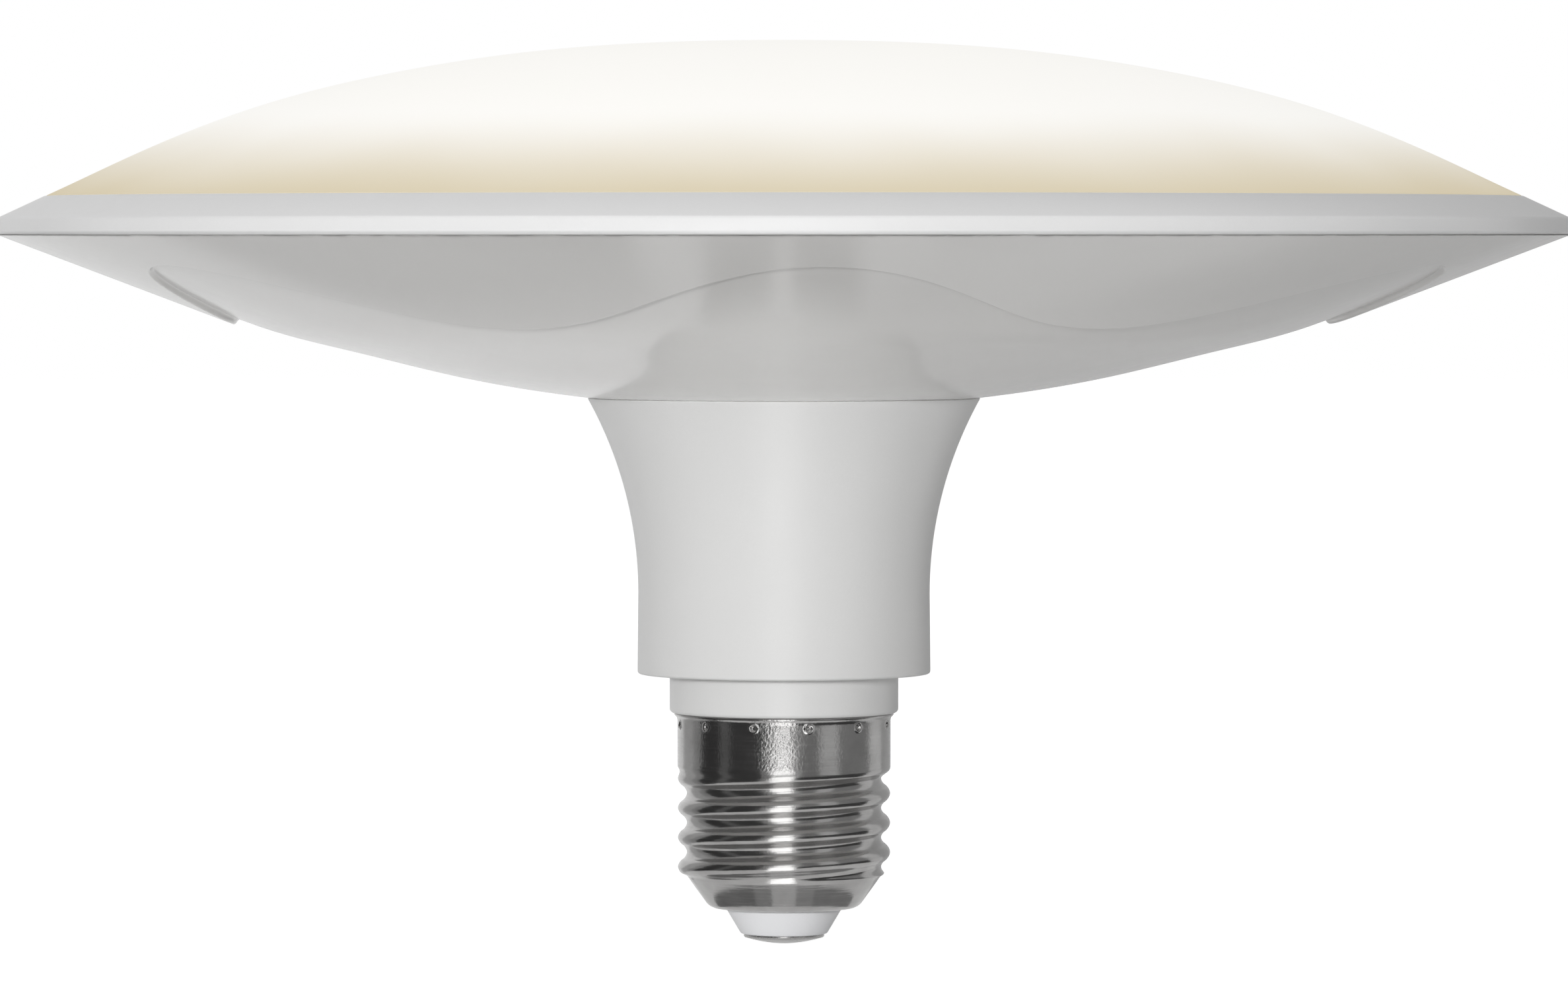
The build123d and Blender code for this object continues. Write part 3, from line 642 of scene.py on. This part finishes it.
@dataclass
class Dome(Piece):
    """The opal dome with its foot under the bezel ring."""

    node = "diffuser"
    slot = "opal_dome"
    finish = OPAL
    edge_radius: float = 90.1
    edge_height: float = 91.85
    rise: float = 18.95
    edge_slope: float = 0.455
    shape: tuple[Point, ...] = (
        (0.0, 0.0), (0.35, 0.076), (0.53, 0.208), (0.71, 0.42), (0.89, 0.755), (1.0, 1.0)
    )
    wall: float = 1.4
    foot_bottom: float = 87.0
    foot_radius: float = 93.9
    foot_width: float = 5.4
    foot_drop: float = 1.8

    def mesh(self) -> Mesh:
        """Turns the dome from its meridian.

        Returns:
            The mesh.
        """
        top = self.edge_height + self.rise
        knots = [(self.edge_radius * out, top - self.rise * down) for out, down in self.shape]
        line = Curve(knots, (0.0, -self.edge_slope))
        foot_inner = self.foot_radius - self.foot_width
        foot_top = self.edge_height - self.foot_drop
        slant = (self.foot_radius - self.edge_radius) * self.edge_slope
        outline = [Corner(r, line.height(r)) for r in spread(0, self.edge_radius, 44)]
        outline += corners(
            (self.edge_radius, foot_top),
            (self.foot_radius, foot_top - slant, 0.2),
            (self.foot_radius, self.foot_bottom, 0.1),
            (foot_inner, self.foot_bottom, 0.1),
        )
        outline += [Corner(r, line.height(r) - self.wall) for r in spread(foot_inner, 0, 30)]
        return lathe(outline, 240)


@dataclass
class Bezel(Piece):
    """The sloped ring with its upright land, grooved below for the dish's tongue."""

    node = "bezel_ring"
    slot = "bezel_white"
    finish = BEZEL_WHITE
    crease = 28.0
    inner: float = 90.2
    outer: float = 96.25
    top: float = 91.85
    bottom: float = 87.0
    draft: float = 0.15
    land: float = 2.1
    chamfer: float = 0.45
    underside: float = 90.15
    slope: float = 0.455
    foot_outer: float = 94.0
    groove_outer: float = 95.3
    groove_inner: float = 94.5
    groove_depth: float = 0.9

    def mesh(self) -> Mesh:
        """Turns the ring.

        Returns:
            The mesh.
        """
        drop = (self.foot_outer - self.inner) * self.slope
        groove_top = self.bottom + self.groove_depth
        outline = corners(
            (self.inner, self.top, 0.22),
            (self.outer - self.draft, self.bottom + self.land, 0.3),
            (self.outer, self.bottom + self.chamfer, 0.12),
            (self.outer - self.chamfer, self.bottom, 0.08),
            (self.groove_outer, self.bottom),
            (self.groove_outer, groove_top),
            (self.groove_inner, groove_top),
            (self.groove_inner, self.bottom),
            (self.foot_outer, self.bottom),
            (self.foot_outer, self.underside - drop),
            (self.inner, self.underside),
        )
        return lathe(outline, 288)


@dataclass
class Dish(Piece):
    """The shallow dish, with the six-lobed step pressed into its underside."""

    node = "dish_housing"
    slot = "dish_white"
    finish = DISH_WHITE
    crease = 50.0
    hub: float = 24.15
    hub_height: float = 67.1
    cone_start: float = 65.0
    cone_start_height: float = 76.104
    cone_slope: float = 0.366
    belly_slope: float = 0.12
    belly_shape: tuple[Point, ...] = ((0.0, 0.0), (0.37, 0.27), (0.71, 0.64), (1.0, 1.0))
    rim: float = 96.0
    rim_height: float = 87.0
    recess: float = 0.45
    lobes: int = 6
    lobe_radius: float = 76.6
    lobe_reach: float = 9.6
    lobe_pinch: float = 0.8
    lobe_turn: float = 3.0
    step_width: float = 0.8
    warp_start: float = 44.0
    warp_full: float = 74.0
    wall: float = 1.7
    bore: float = 16.0
    spigot: float = 1.1
    spigot_depth: float = 2.1
    inside_end: float = 88.4
    tongue_outer: float = 95.2
    tongue_inner: float = 94.6
    tongue_height: float = 0.8
    bosses: int = 6
    boss_circle: float = 61.5
    boss_radius: float = 3.0
    boss_top: float = 82.4
    belly: Curve = field(init=False)

    def __post_init__(self) -> None:
        """Works out the belly's curve."""
        span = self.cone_start - self.hub
        climb = self.cone_start_height - self.hub_height
        knots = [(self.hub + span * out, self.hub_height + climb * up) for out, up in self.belly_shape]
        self.belly = Curve(knots, (self.belly_slope, self.cone_slope))

    def recessed(self, radius: float) -> float:
        """Height of the underside inside the lobes."""
        out = radius - self.cone_start
        return self.belly.height(radius) if out < 0 else self.cone_start_height + out * self.cone_slope

    def raised(self, radius: float) -> float:
        """Height of the underside between the lobes and the rim."""
        start = self.cone_start_height - 2 * self.recess
        return start + (radius - self.cone_start) * ((self.rim_height - start) / (self.rim - self.cone_start))

    def rows(self) -> list[float]:
        """Radii of the underside's rings before the lobes bend them, closest at the step.

        Returns:
            The radii from the hub outwards.
        """
        half = self.step_width / 2
        near = [self.lobe_radius + half * share for share in spread(-1.6, 1.6, 16)]
        inner = spread(self.hub, near[0] - 0.5, 26)
        outer = spread(near[-1] + 0.5, self.rim, 12)
        return inner + near + outer

    def bend(self, vert: bmesh.types.BMVert) -> None:
        """Moves a vertex of the plain underside out to its place on the lobed one.

        Args:
            vert: A vertex of the turned underside.
        """
        base = vert.co.xy.length
        around = math.atan2(vert.co.y, vert.co.x)
        hold = min(
            fade((base - self.warp_start) / (self.warp_full - self.warp_start)),
            fade((self.rim - base) / (self.rim - self.lobe_radius - self.step_width)),
        )
        turn = self.lobes * (around - math.radians(self.lobe_turn))
        lobe = -self.lobe_reach * math.cos(turn) - self.lobe_pinch * (1 - math.cos(2 * turn))
        radius = base + lobe * hold
        past = fade((radius - self.lobe_radius - lobe) / self.step_width + 0.5)
        height = self.recessed(radius) * (1 - past) + self.raised(radius) * past
        vert.co = Vector((radius * math.cos(around), radius * math.sin(around), height))

    def add_bosses(self, bm: Mesh) -> None:
        """Stands the board's screw bosses on the dish's inside, their feet within its wall.

        Args:
            bm: The dish's mesh.
        """
        foot = self.recessed(self.boss_circle) + self.wall / 2
        middle = (self.boss_top + foot) / 2
        for place in range(self.bosses):
            around = FULL_TURN * place / self.bosses
            boss = bmesh.ops.create_cone(
                bm, cap_ends=True, segments=24, radius1=self.boss_radius, radius2=self.boss_radius,
                depth=self.boss_top - foot,
            )["verts"]
            centre = (self.boss_circle * math.cos(around), self.boss_circle * math.sin(around), middle)
            bmesh.ops.translate(bm, vec=centre, verts=boss)
            for vert in boss:
                if vert.co.z < middle:
                    vert.co.z = self.recessed(vert.co.xy.length) + self.wall / 2

    def mesh(self) -> Mesh:
        """Turns the dish, bends the lobes into its underside and adds its bosses.

        Returns:
            The mesh.
        """
        tongue_top = self.rim_height + self.tongue_height
        spigot_end = self.hub_height - self.spigot_depth
        outline = [Corner(r, self.recessed(r)) for r in self.rows()]
        outline[0] = Corner(self.hub, self.hub_height, 0.25)
        outline[-1] = Corner(self.rim, self.rim_height)
        outline += corners(
            (self.tongue_outer, self.rim_height),
            (self.tongue_outer, tongue_top, 0.1),
            (self.tongue_inner, tongue_top, 0.1),
            (self.tongue_inner, self.rim_height),
            (self.inside_end, self.rim_height, 0.1),
        )
        outline += [Corner(r, self.recessed(r) + self.wall) for r in spread(self.inside_end, self.hub, 24)]
        outline += corners(
            (self.bore, self.hub_height + self.wall, 0.1),
            (self.bore, spigot_end, 0.1),
            (self.bore + self.spigot, spigot_end, 0.1),
            (self.bore + self.spigot, self.hub_height),
        )
        bm = lathe(outline, 360)
        slack = SAME_PLACE * 10
        for vert in bm.verts:
            away = vert.co.xy.length
            within = self.warp_start < away < self.rim - slack
            if within and vert.co.z < self.recessed(away) + slack:
                self.bend(vert)
        self.add_bosses(bm)
        return bm


@dataclass
class Neck(Piece):
    """The trumpet-shaped neck."""

    node = "neck"
    slot = "neck_white"
    finish = NECK_WHITE
    bottom: float = 33.2
    top: float = 67.1
    radius: float = 17.9
    draft: float = 0.1
    hub: float = 24.15
    flare: float = 49.3
    wall: float = 1.8
    flange: float = 3.0
    flange_bore: float = 17.2
    collar_bore: float = 14.15
    shoulder: float = 38.2

    def mesh(self) -> Mesh:
        """Turns the trumpet, hollow from its flange to the collar's seat.

        Returns:
            The mesh.
        """
        reach = self.hub - self.radius
        start = self.top - math.sqrt(2 * self.flare * reach - reach * reach)
        centre = (self.radius + self.flare, start)
        turn = math.degrees(math.asin((self.top - start) / self.flare))
        inner = self.flare + self.wall
        inner_turn = math.degrees(math.asin((self.top - self.flange - start) / inner))
        outline = corners(
            (self.radius + self.draft, self.bottom, 0.35),
            (self.radius + self.draft / 2, (self.bottom + start) / 2),
        )
        outline += arc(centre, self.flare, 180, 180 - turn, 24)
        outline[-1] = Corner(self.hub, self.top, 0.25)
        outline += corners((self.flange_bore, self.top, 0.1), (self.flange_bore, self.top - self.flange, 0.1))
        outline += arc(centre, inner, 180 - inner_turn, 180, 16)
        outline += corners(
            (self.radius - self.wall, self.shoulder, 0.1),
            (self.collar_bore, self.shoulder, 0.1),
            (self.collar_bore, self.bottom, 0.2),
        )
        return lathe(outline, 192)


@dataclass
class Collar(Piece):
    """The sleeve between the neck and the metal cap."""

    node = "cap_collar"
    slot = "collar_white"
    finish = COLLAR_WHITE
    radius: float = 14.05
    bottom: float = 28.4
    shoulder: float = 38.2
    top: float = 39.8
    flange: float = 16.0
    nose_bottom: float = 22.5
    nose: float = 12.7
    bore: float = 12.3

    def mesh(self) -> Mesh:
        """Turns the sleeve with its nose and its flange.

        Returns:
            The mesh.
        """
        outline = corners(
            (self.bore, self.nose_bottom, 0.1),
            (self.nose, self.nose_bottom, 0.1),
            (self.nose, self.bottom),
            (self.radius, self.bottom, 0.5),
            (self.radius, self.shoulder),
            (self.flange, self.shoulder, 0.1),
            (self.flange, self.top, 0.1),
            (self.bore, self.top, 0.1),
        )
        return lathe(outline, 160)


@dataclass
class ScrewShell(Piece):
    """The rolled screw cap: mouth, shoulder, knuckle thread, skirt, punch marks and flared lip."""

    node = "screw_shell"
    slot = "cap_nickel"
    finish = CAP_NICKEL
    crease = 60.0
    bottom: float = 4.4
    top: float = 28.4
    skirt: float = 13.1
    crest: float = 13.05
    depth: float = 1.1
    pitch: float = 3.629
    groove_height: float = 14.85
    thread_start: float = 8.15
    thread_end: float = 21.9
    start_fade: float = 0.55
    end_fade: float = 1.5
    knuckle_power: float = 0.8075
    shoulder_radius: float = 11.8
    mouth: tuple[Point, ...] = (
        (7.3, 0.0), (8.3, 0.0), (8.75, 0.06), (9.15, 0.24), (9.48, 0.52), (9.8, 0.95),
        (10.3, 1.65), (10.78, 2.3), (11.17, 2.85), (11.45, 3.25), (11.65, 3.55),
    )
    lip_height: float = 0.42
    lip: tuple[Point, ...] = ((0.05, -0.22), (0.16, -0.06), (0.3, 0.08), (0.4, 0.2), (0.4, 0.3), (0.3, 0.42))
    sheet: float = 0.3
    row: float = 0.15
    punches: int = 12
    punch_first: float = 13.5
    punch_drop: float = 1.3
    punch_radius: float = 0.5
    punch_depth: float = 0.26
    burr_height: float = 0.1
    burr_first: float = 40.0
    burr_turn: float = 97.0

    def thread_radius(self, around: float, height: float) -> float:
        """The rolled thread's radius.

        Args:
            around: The angle round the axis.
            height: The height above the contact's tip.

        Returns:
            The radius of the shell's outside.
        """
        wave = math.cos(around - FULL_TURN * (height - self.groove_height) / self.pitch)
        wave = math.copysign(abs(wave) ** self.knuckle_power, wave)
        risen = fade((self.thread_end - height) / self.end_fade)
        level = self.skirt - (self.skirt - self.crest) * risen
        threaded = level - self.depth * (1 - wave) / 2 * risen
        begun = fade((height - self.thread_start) / self.start_fade)
        return self.shoulder_radius + (threaded - self.shoulder_radius) * begun

    def outline(self) -> list[Corner]:
        """The shell's outside from the mouth up to the lip, before the thread is rolled in.

        Returns:
            The corners.
        """
        lip = self.top - self.lip_height
        count = round((self.thread_end - self.thread_start) / self.row)
        levels = spread(self.thread_start, self.thread_end, count)
        levels += spread(self.thread_end + 0.4, lip - 0.5, 16)
        made = [Corner(radius, self.bottom + up) for radius, up in self.mouth]
        made += [Corner(self.skirt, level) for level in levels]
        return made + [Corner(self.skirt + out, lip + up) for out, up in self.lip]

    def roll(self, bm: Mesh) -> None:
        """Presses the thread into the turned sheet.

        Args:
            bm: The shell's mesh.
        """
        for vert in bm.verts:
            if self.thread_start - SAME_PLACE < vert.co.z < self.thread_end + SAME_PLACE:
                around = math.atan2(vert.co.y, vert.co.x)
                radius = self.thread_radius(around, vert.co.z)
                vert.co.x = radius * math.cos(around)
                vert.co.y = radius * math.sin(around)

    def punch(self, bm: Mesh) -> None:
        """Divides the sheet round each punch mark and sinks its ring, pit and burr.

        Args:
            bm: The shell's mesh.
        """
        reach = self.punch_radius * 1.9
        for place in range(self.punches):
            around = math.radians(self.punch_first) + FULL_TURN * place / self.punches
            outward = Vector((math.cos(around), math.sin(around), 0))
            centre = outward * self.skirt + Vector((0, 0, self.top - self.punch_drop))
            near = [f for f in bm.faces if (f.calc_center_median() - centre).length < reach]
            edges = list({edge for face in near for edge in face.edges})
            bmesh.ops.subdivide_edges(bm, edges=edges, cuts=3, use_grid_fill=True)
            side = Vector((-outward.y, outward.x, 0))
            tilt = math.radians(self.burr_first + self.burr_turn * place)
            burr = side * math.cos(tilt) + Vector((0, 0, math.sin(tilt)))
            for vert in bm.verts:
                offset = vert.co - centre
                if offset.length < reach:
                    vert.co += outward * self.punch_relief(offset.length, offset.dot(burr))

    def punch_relief(self, away: float, towards_burr: float) -> float:
        """How far a punch mark moves the sheet outwards.

        Args:
            away: The distance from the mark's middle.
            towards_burr: How far along the direction of its burr the point is.

        Returns:
            The outward move, negative in the pit.
        """
        share = away / self.punch_radius
        pit = -self.punch_depth * (1 - fade((share - 0.3) / 0.6))
        ridge = self.burr_height * math.exp(-(((share - 1.05) / 0.22) ** 2))
        lean = 0.55 + 0.75 * fade(towards_burr / self.punch_radius + 0.3)
        nib = self.burr_height * math.exp(-((share / 0.22) ** 2))
        return pit + ridge * lean + nib

    def mesh(self) -> Mesh:
        """Turns the sheet, rolls the thread, punches the marks and gives the sheet its thickness.

        Returns:
            The mesh.
        """
        bm = lathe(self.outline(), 192, wall=False)
        self.roll(bm)
        self.punch(bm)
        bmesh.ops.remove_doubles(bm, verts=bm.verts, dist=SAME_PLACE)
        bmesh.ops.recalc_face_normals(bm, faces=bm.faces)
        outside = max(bm.faces, key=lambda face: face.calc_center_median().xy.length)
        middle = outside.calc_center_median()
        if outside.normal.x * middle.x + outside.normal.y * middle.y < 0:
            bmesh.ops.reverse_faces(bm, faces=bm.faces)
        bmesh.ops.solidify(bm, geom=bm.faces[:], thickness=self.sheet)
        return bm


@dataclass
class Insulator(Piece):
    """The white cone below the shell's mouth, with its plug inside."""

    node = "cap_insulator"
    slot = "insulator_white"
    finish = INSULATOR_WHITE
    tip: float = 1.2
    tip_radius: float = 5.3
    mouth: float = 7.2
    mouth_height: float = 4.4
    floor: float = 4.7
    plug: float = 8.6
    plug_top: float = 6.4
    plug_chamfer: float = 0.3
    bore: float = 1.25

    def mesh(self) -> Mesh:
        """Turns the cone and its plug.

        Returns:
            The mesh.
        """
        outline = corners(
            (self.bore, self.tip),
            (self.tip_radius, self.tip, 0.2),
            (self.mouth, self.mouth_height),
            (self.mouth, self.floor),
            (self.plug - self.plug_chamfer, self.floor, 0.1),
            (self.plug, (self.floor + self.plug_top) / 2, 0.1),
            (self.plug, self.plug_top, 0.15),
            (self.bore, self.plug_top),
        )
        return lathe(outline, 128)


@dataclass
class Contact(Piece):
    """The pressed disc at the tip, domed below, with its rivet stem."""

    node = "centre_contact"
    slot = "contact_nickel"
    finish = CONTACT_NICKEL
    radius: float = 4.95
    top: float = 1.2
    edge: float = 0.4
    edge_slope: float = 0.3
    stem: float = 1.2
    stem_top: float = 8.5

    def mesh(self) -> Mesh:
        """Turns the disc and its stem.

        Returns:
            The mesh.
        """
        rim = self.top - self.edge
        dome = Curve([(0.0, 0.0), (self.radius, rim)], (0.0, self.edge_slope))
        outline = [Corner(r, dome.height(r)) for r in spread(0, self.radius - 0.1, 14)]
        outline += corners(
            (self.radius, rim + 0.05, 0.04),
            (self.radius, self.top, 0.06),
            (self.stem, self.top),
            (self.stem, self.stem_top, 0.2),
            (0.0, self.stem_top),
        )
        return lathe(outline, 96)


def dress_inside(replaced: set[str]) -> None:
    """Gives board, driver and leads, which keep their CAD shapes, one material for each slot.

    Args:
        replaced: Names of the nodes that other pieces stand for.
    """
    made: dict[str, Material] = {}
    for entry in frame["record"]["subparts"]:
        node, slot = entry["node"], entry["material_slot"]
        if node in replaced:
            continue
        if slot not in made:
            made[slot] = INNER_FINISHES[slot].material(slot)
        for place in frame["nodes"][node].material_slots:
            place.material = made[slot]
        LOG.info("%s: %s", node, slot)


@dataclass(frozen=True)
class Softbox:
    """A rectangular studio lamp that faces the object and is left out of its gloss."""

    name: str
    place: Spot
    width: float
    height: float
    power: float
    aim: ClassVar[Spot] = (0.0, 0.0, 0.06)

    def build(self) -> None:
        """Makes the lamp and turns it to its aim."""
        light = bpy.data.lights.new(self.name, "AREA")
        light.shape = "RECTANGLE"
        light.size, light.size_y = self.width, self.height
        light.energy = self.power
        lamp = placed(self.name, light)
        lamp.location = self.place
        lamp.rotation_euler = (Vector(self.aim) - Vector(self.place)).to_track_quat("-Z", "Y").to_euler()
        lamp.visible_glossy = lamp.visible_camera = False


# The lines that cards are bent from, as distance from the axis and height in metres
WHOLE = ((0.026, 0.0005), (1.3, 0.0005), (1.3, 1.2))
FAR = ((0.1, 0.0005), (1.3, 0.0005), (1.3, 1.2))
# Painted contact shadow: a ring on the floor round the contact, seen only in the cap's reflection.
SHADOW_RING = ((0.0105, 0.0006), (0.014, 0.0006))


@dataclass(frozen=True)
class Card:
    """A curved card that only gloss and metal see, as one side of a studio or, round the contact, as painted
    contact shadow.

    It runs from one angle to another, in degrees to the right of the camera's side.
    Seen by way of another reflection, no card is darker than deep_glow.
    """

    name: str
    start: float
    end: float
    glow: float
    line: tuple[Point, ...] = WHOLE
    deep_glow: ClassVar[float] = 0.4

    def paper(self) -> Material:
        """Makes the card's even brightness.

        Returns:
            The material.
        """
        board = Board(self.name)
        bounce = board.add("LightPath")["Ray Depth"]
        glow = board.ranged(bounce, 1, 2, self.glow, max(self.glow, self.deep_glow))
        board.show(board.add("Emission", {"Strength": glow})["Emission"])
        return board.material

    def build(self) -> None:
        """Bends the card round the lamp."""
        bm = bmesh.new()
        verts = [bm.verts.new((0, -away, level)) for away, level in self.line]
        edges = [bm.edges.new(pair) for pair in zip(verts, verts[1:])]
        first = Matrix.Rotation(math.radians(self.start), 3, "Z")
        bmesh.ops.rotate(bm, cent=(0, 0, 0), matrix=first, verts=verts)
        span = math.radians(self.end - self.start)
        bmesh.ops.spin(bm, geom=verts + edges, angle=span, steps=24, **ROUND_AXIS)
        card = meshed(self.name, bm, self.paper())
        card.visible_camera = card.visible_diffuse = card.visible_shadow = False


@dataclass(frozen=True)
class Studio:
    """The white sweep, the lamps, the cards that gloss sees, and the camera."""

    floor_size: float = 8.0
    floor_white: float = 0.8
    floor_glow: float = 0.9
    floor_shade: float = 0.45
    floor_gloss: float = 0.55
    floor_lift: float = 0.05
    sky: float = 0.45
    sky_left: float = 0.55
    sky_low: float = 0.5
    sky_gloss: float = 0.8
    distance: float = 1.0
    horizon: float = 0.0867
    aim_height: float = 0.0553
    lens: float = 187.0
    sensor: float = 36.0
    lamps: tuple[Softbox, ...] = (
        Softbox("key_softbox", (-0.2, -1.1, 0.17), 0.36, 0.1, 6.5),
        Softbox("top_softbox", (0.2, -0.25, 0.95), 1.8, 0.5, 2.9),
    )
    cards: tuple[Card, ...] = (
        Card("left_edge_card", -114, -100, 0.35),
        Card("far_left_card", -100, -72, 0.05),
        Card("mid_left_card", -72, -60, 0.16),
        Card("left_card", -60, -24, 0.06),
        Card("left_fade_card", -24, -13, 0.3),
        Card("centre_card", -13, 10, 2.4, ((0.018, 0.0005), (0.2, 0.0005))),
        Card("centre_floor_card", -13, 10, 0.42, ((0.2, 0.0005), (1.3, 0.0005))),
        Card("centre_wall_card", -10, 9, 2.4, ((1.3, 0.0), (1.3, 0.6))),
        Card("right_fade_card", 10, 18, 0.5, FAR),
        Card("right_card", 18, 38, 0.25, FAR),
        Card("mid_right_card", 38, 60, 0.6, FAR),
        Card("far_right_card", 60, 104, 0.28, FAR),
        Card("near_right_card", 12, 98, 0.07, ((0.026, 0.0005), (0.1, 0.0005))),
        Card("side_right_card", 104, 128, 0.72),
        Card("back_right_card", 128, 158, 0.45),
        Card("middle_back_card", 158, 180, 0.5),
        Card("back_left_card", -180, -138, 0.85),
        Card("side_left_card", -138, -114, 0.5),
        # Painted contact shadow under the cap, seen in its reflection.
        Card("left_foot_shadow_card", -95, -30, 0.2, SHADOW_RING),
        Card("mid_left_foot_shadow_card", -30, -12, 0.3, SHADOW_RING),
        Card("mid_foot_shadow_card", -12, 12, 0.6, SHADOW_RING),
        Card("mid_right_foot_shadow_card", 12, 30, 0.35, SHADOW_RING),
        Card("right_foot_shadow_card", 30, 90, 0.25, SHADOW_RING),
    )

    def white_sweep(self) -> Material:
        """Makes the floor's material: white where the camera looks, with the lamp's shadow.

        Returns:
            The material.
        """
        board = Board("floor_white")
        path = board.add("LightPath")
        glossy = path["Is Glossy Ray"]
        seen = board.maths("MAXIMUM", path["Is Camera Ray"], glossy)
        seen = board.maths("MAXIMUM", seen, path["Is Transmission Ray"])
        shade = board.mix(seen, (self.floor_white,) * 3, (self.floor_shade,) * 3)
        shown = board.maths("MULTIPLY", seen, board.ranged(glossy, 0, 1, self.floor_glow, self.floor_gloss))
        glow = board.maths("ADD", shown, board.ranged(seen, 0, 1, self.floor_lift, 0))
        paper = board.add("BsdfDiffuse", {"Color": shade})["BSDF"]
        light = board.add("Emission", {"Strength": glow})["Emission"]
        board.show(board.add("AddShader", {0: paper, 1: light})["Shader"])
        return board.material

    def lay_floor(self) -> None:
        """Lays the floor under the contact's tip."""
        bm = bmesh.new()
        bmesh.ops.create_grid(bm, x_segments=1, y_segments=1, size=self.floor_size / 2)
        meshed("floor", bm, self.white_sweep())

    def light_world(self) -> None:
        """Makes the surroundings white to the eye, softer as light and a little dimmer in gloss."""
        world = bpy.data.worlds.new("studio")
        bpy.context.scene.world = world
        world.use_nodes = True
        sky = Nodes(world.node_tree)
        toward = sky.add("SeparateXYZ", {"Vector": sky.add("TexCoord")["Generated"]})
        across = sky.ranged(toward["X"], -1, 1, 1 + self.sky_left, 1 - self.sky_left)
        upward = sky.ranged(toward["Z"], -1, 1, 1 + self.sky_low, 1 - self.sky_low)
        soft = sky.maths("MULTIPLY", sky.maths("MULTIPLY", across, upward), self.sky)
        path = sky.add("LightPath")
        shown = sky.maths("MAXIMUM", path["Is Camera Ray"], path["Is Transmission Ray"])
        light = sky.add("Mix", {"Factor": path["Is Glossy Ray"], "A": soft, "B": self.sky_gloss})["Result"]
        strength = sky.maths("MAXIMUM", shown, light)
        glow = sky.add("Background", {"Color": (1, 1, 1), "Strength": strength})["Background"]
        sky.add("OutputWorld", {"Surface": glow})

    def place_camera(self) -> None:
        """Puts the camera in front, a little above the neck, looking slightly down."""
        data = bpy.data.cameras.new("camera")
        data.lens = self.lens
        data.sensor_width = self.sensor
        data.dof.use_dof = False
        camera = placed("camera", data)
        camera.location = (0, -self.distance, self.horizon)
        look = Vector((0, 0, self.aim_height)) - camera.location
        camera.rotation_euler = look.to_track_quat("-Z", "Y").to_euler()
        bpy.context.scene.camera = camera

    def build(self) -> None:
        """Sets up floor, surroundings, lamps, cards and camera."""
        self.lay_floor()
        self.light_world()
        for fitting in self.lamps + self.cards:
            fitting.build()
        self.place_camera()
        bpy.context.scene.view_settings.view_transform = "Standard"
        LOG.info("studio: %d lamps, %d cards", len(self.lamps), len(self.cards))


def main() -> None:
    logging.basicConfig(level=logging.INFO, format="%(name)s: %(message)s")
    pieces = [Dome(), Bezel(), Dish(), Neck(), Collar(), ScrewShell(), Insulator(), Contact()]
    for piece in pieces:
        piece.build()
    dress_inside({piece.node for piece in pieces})
    Studio().build()


if __name__ == "__main__":
    main()
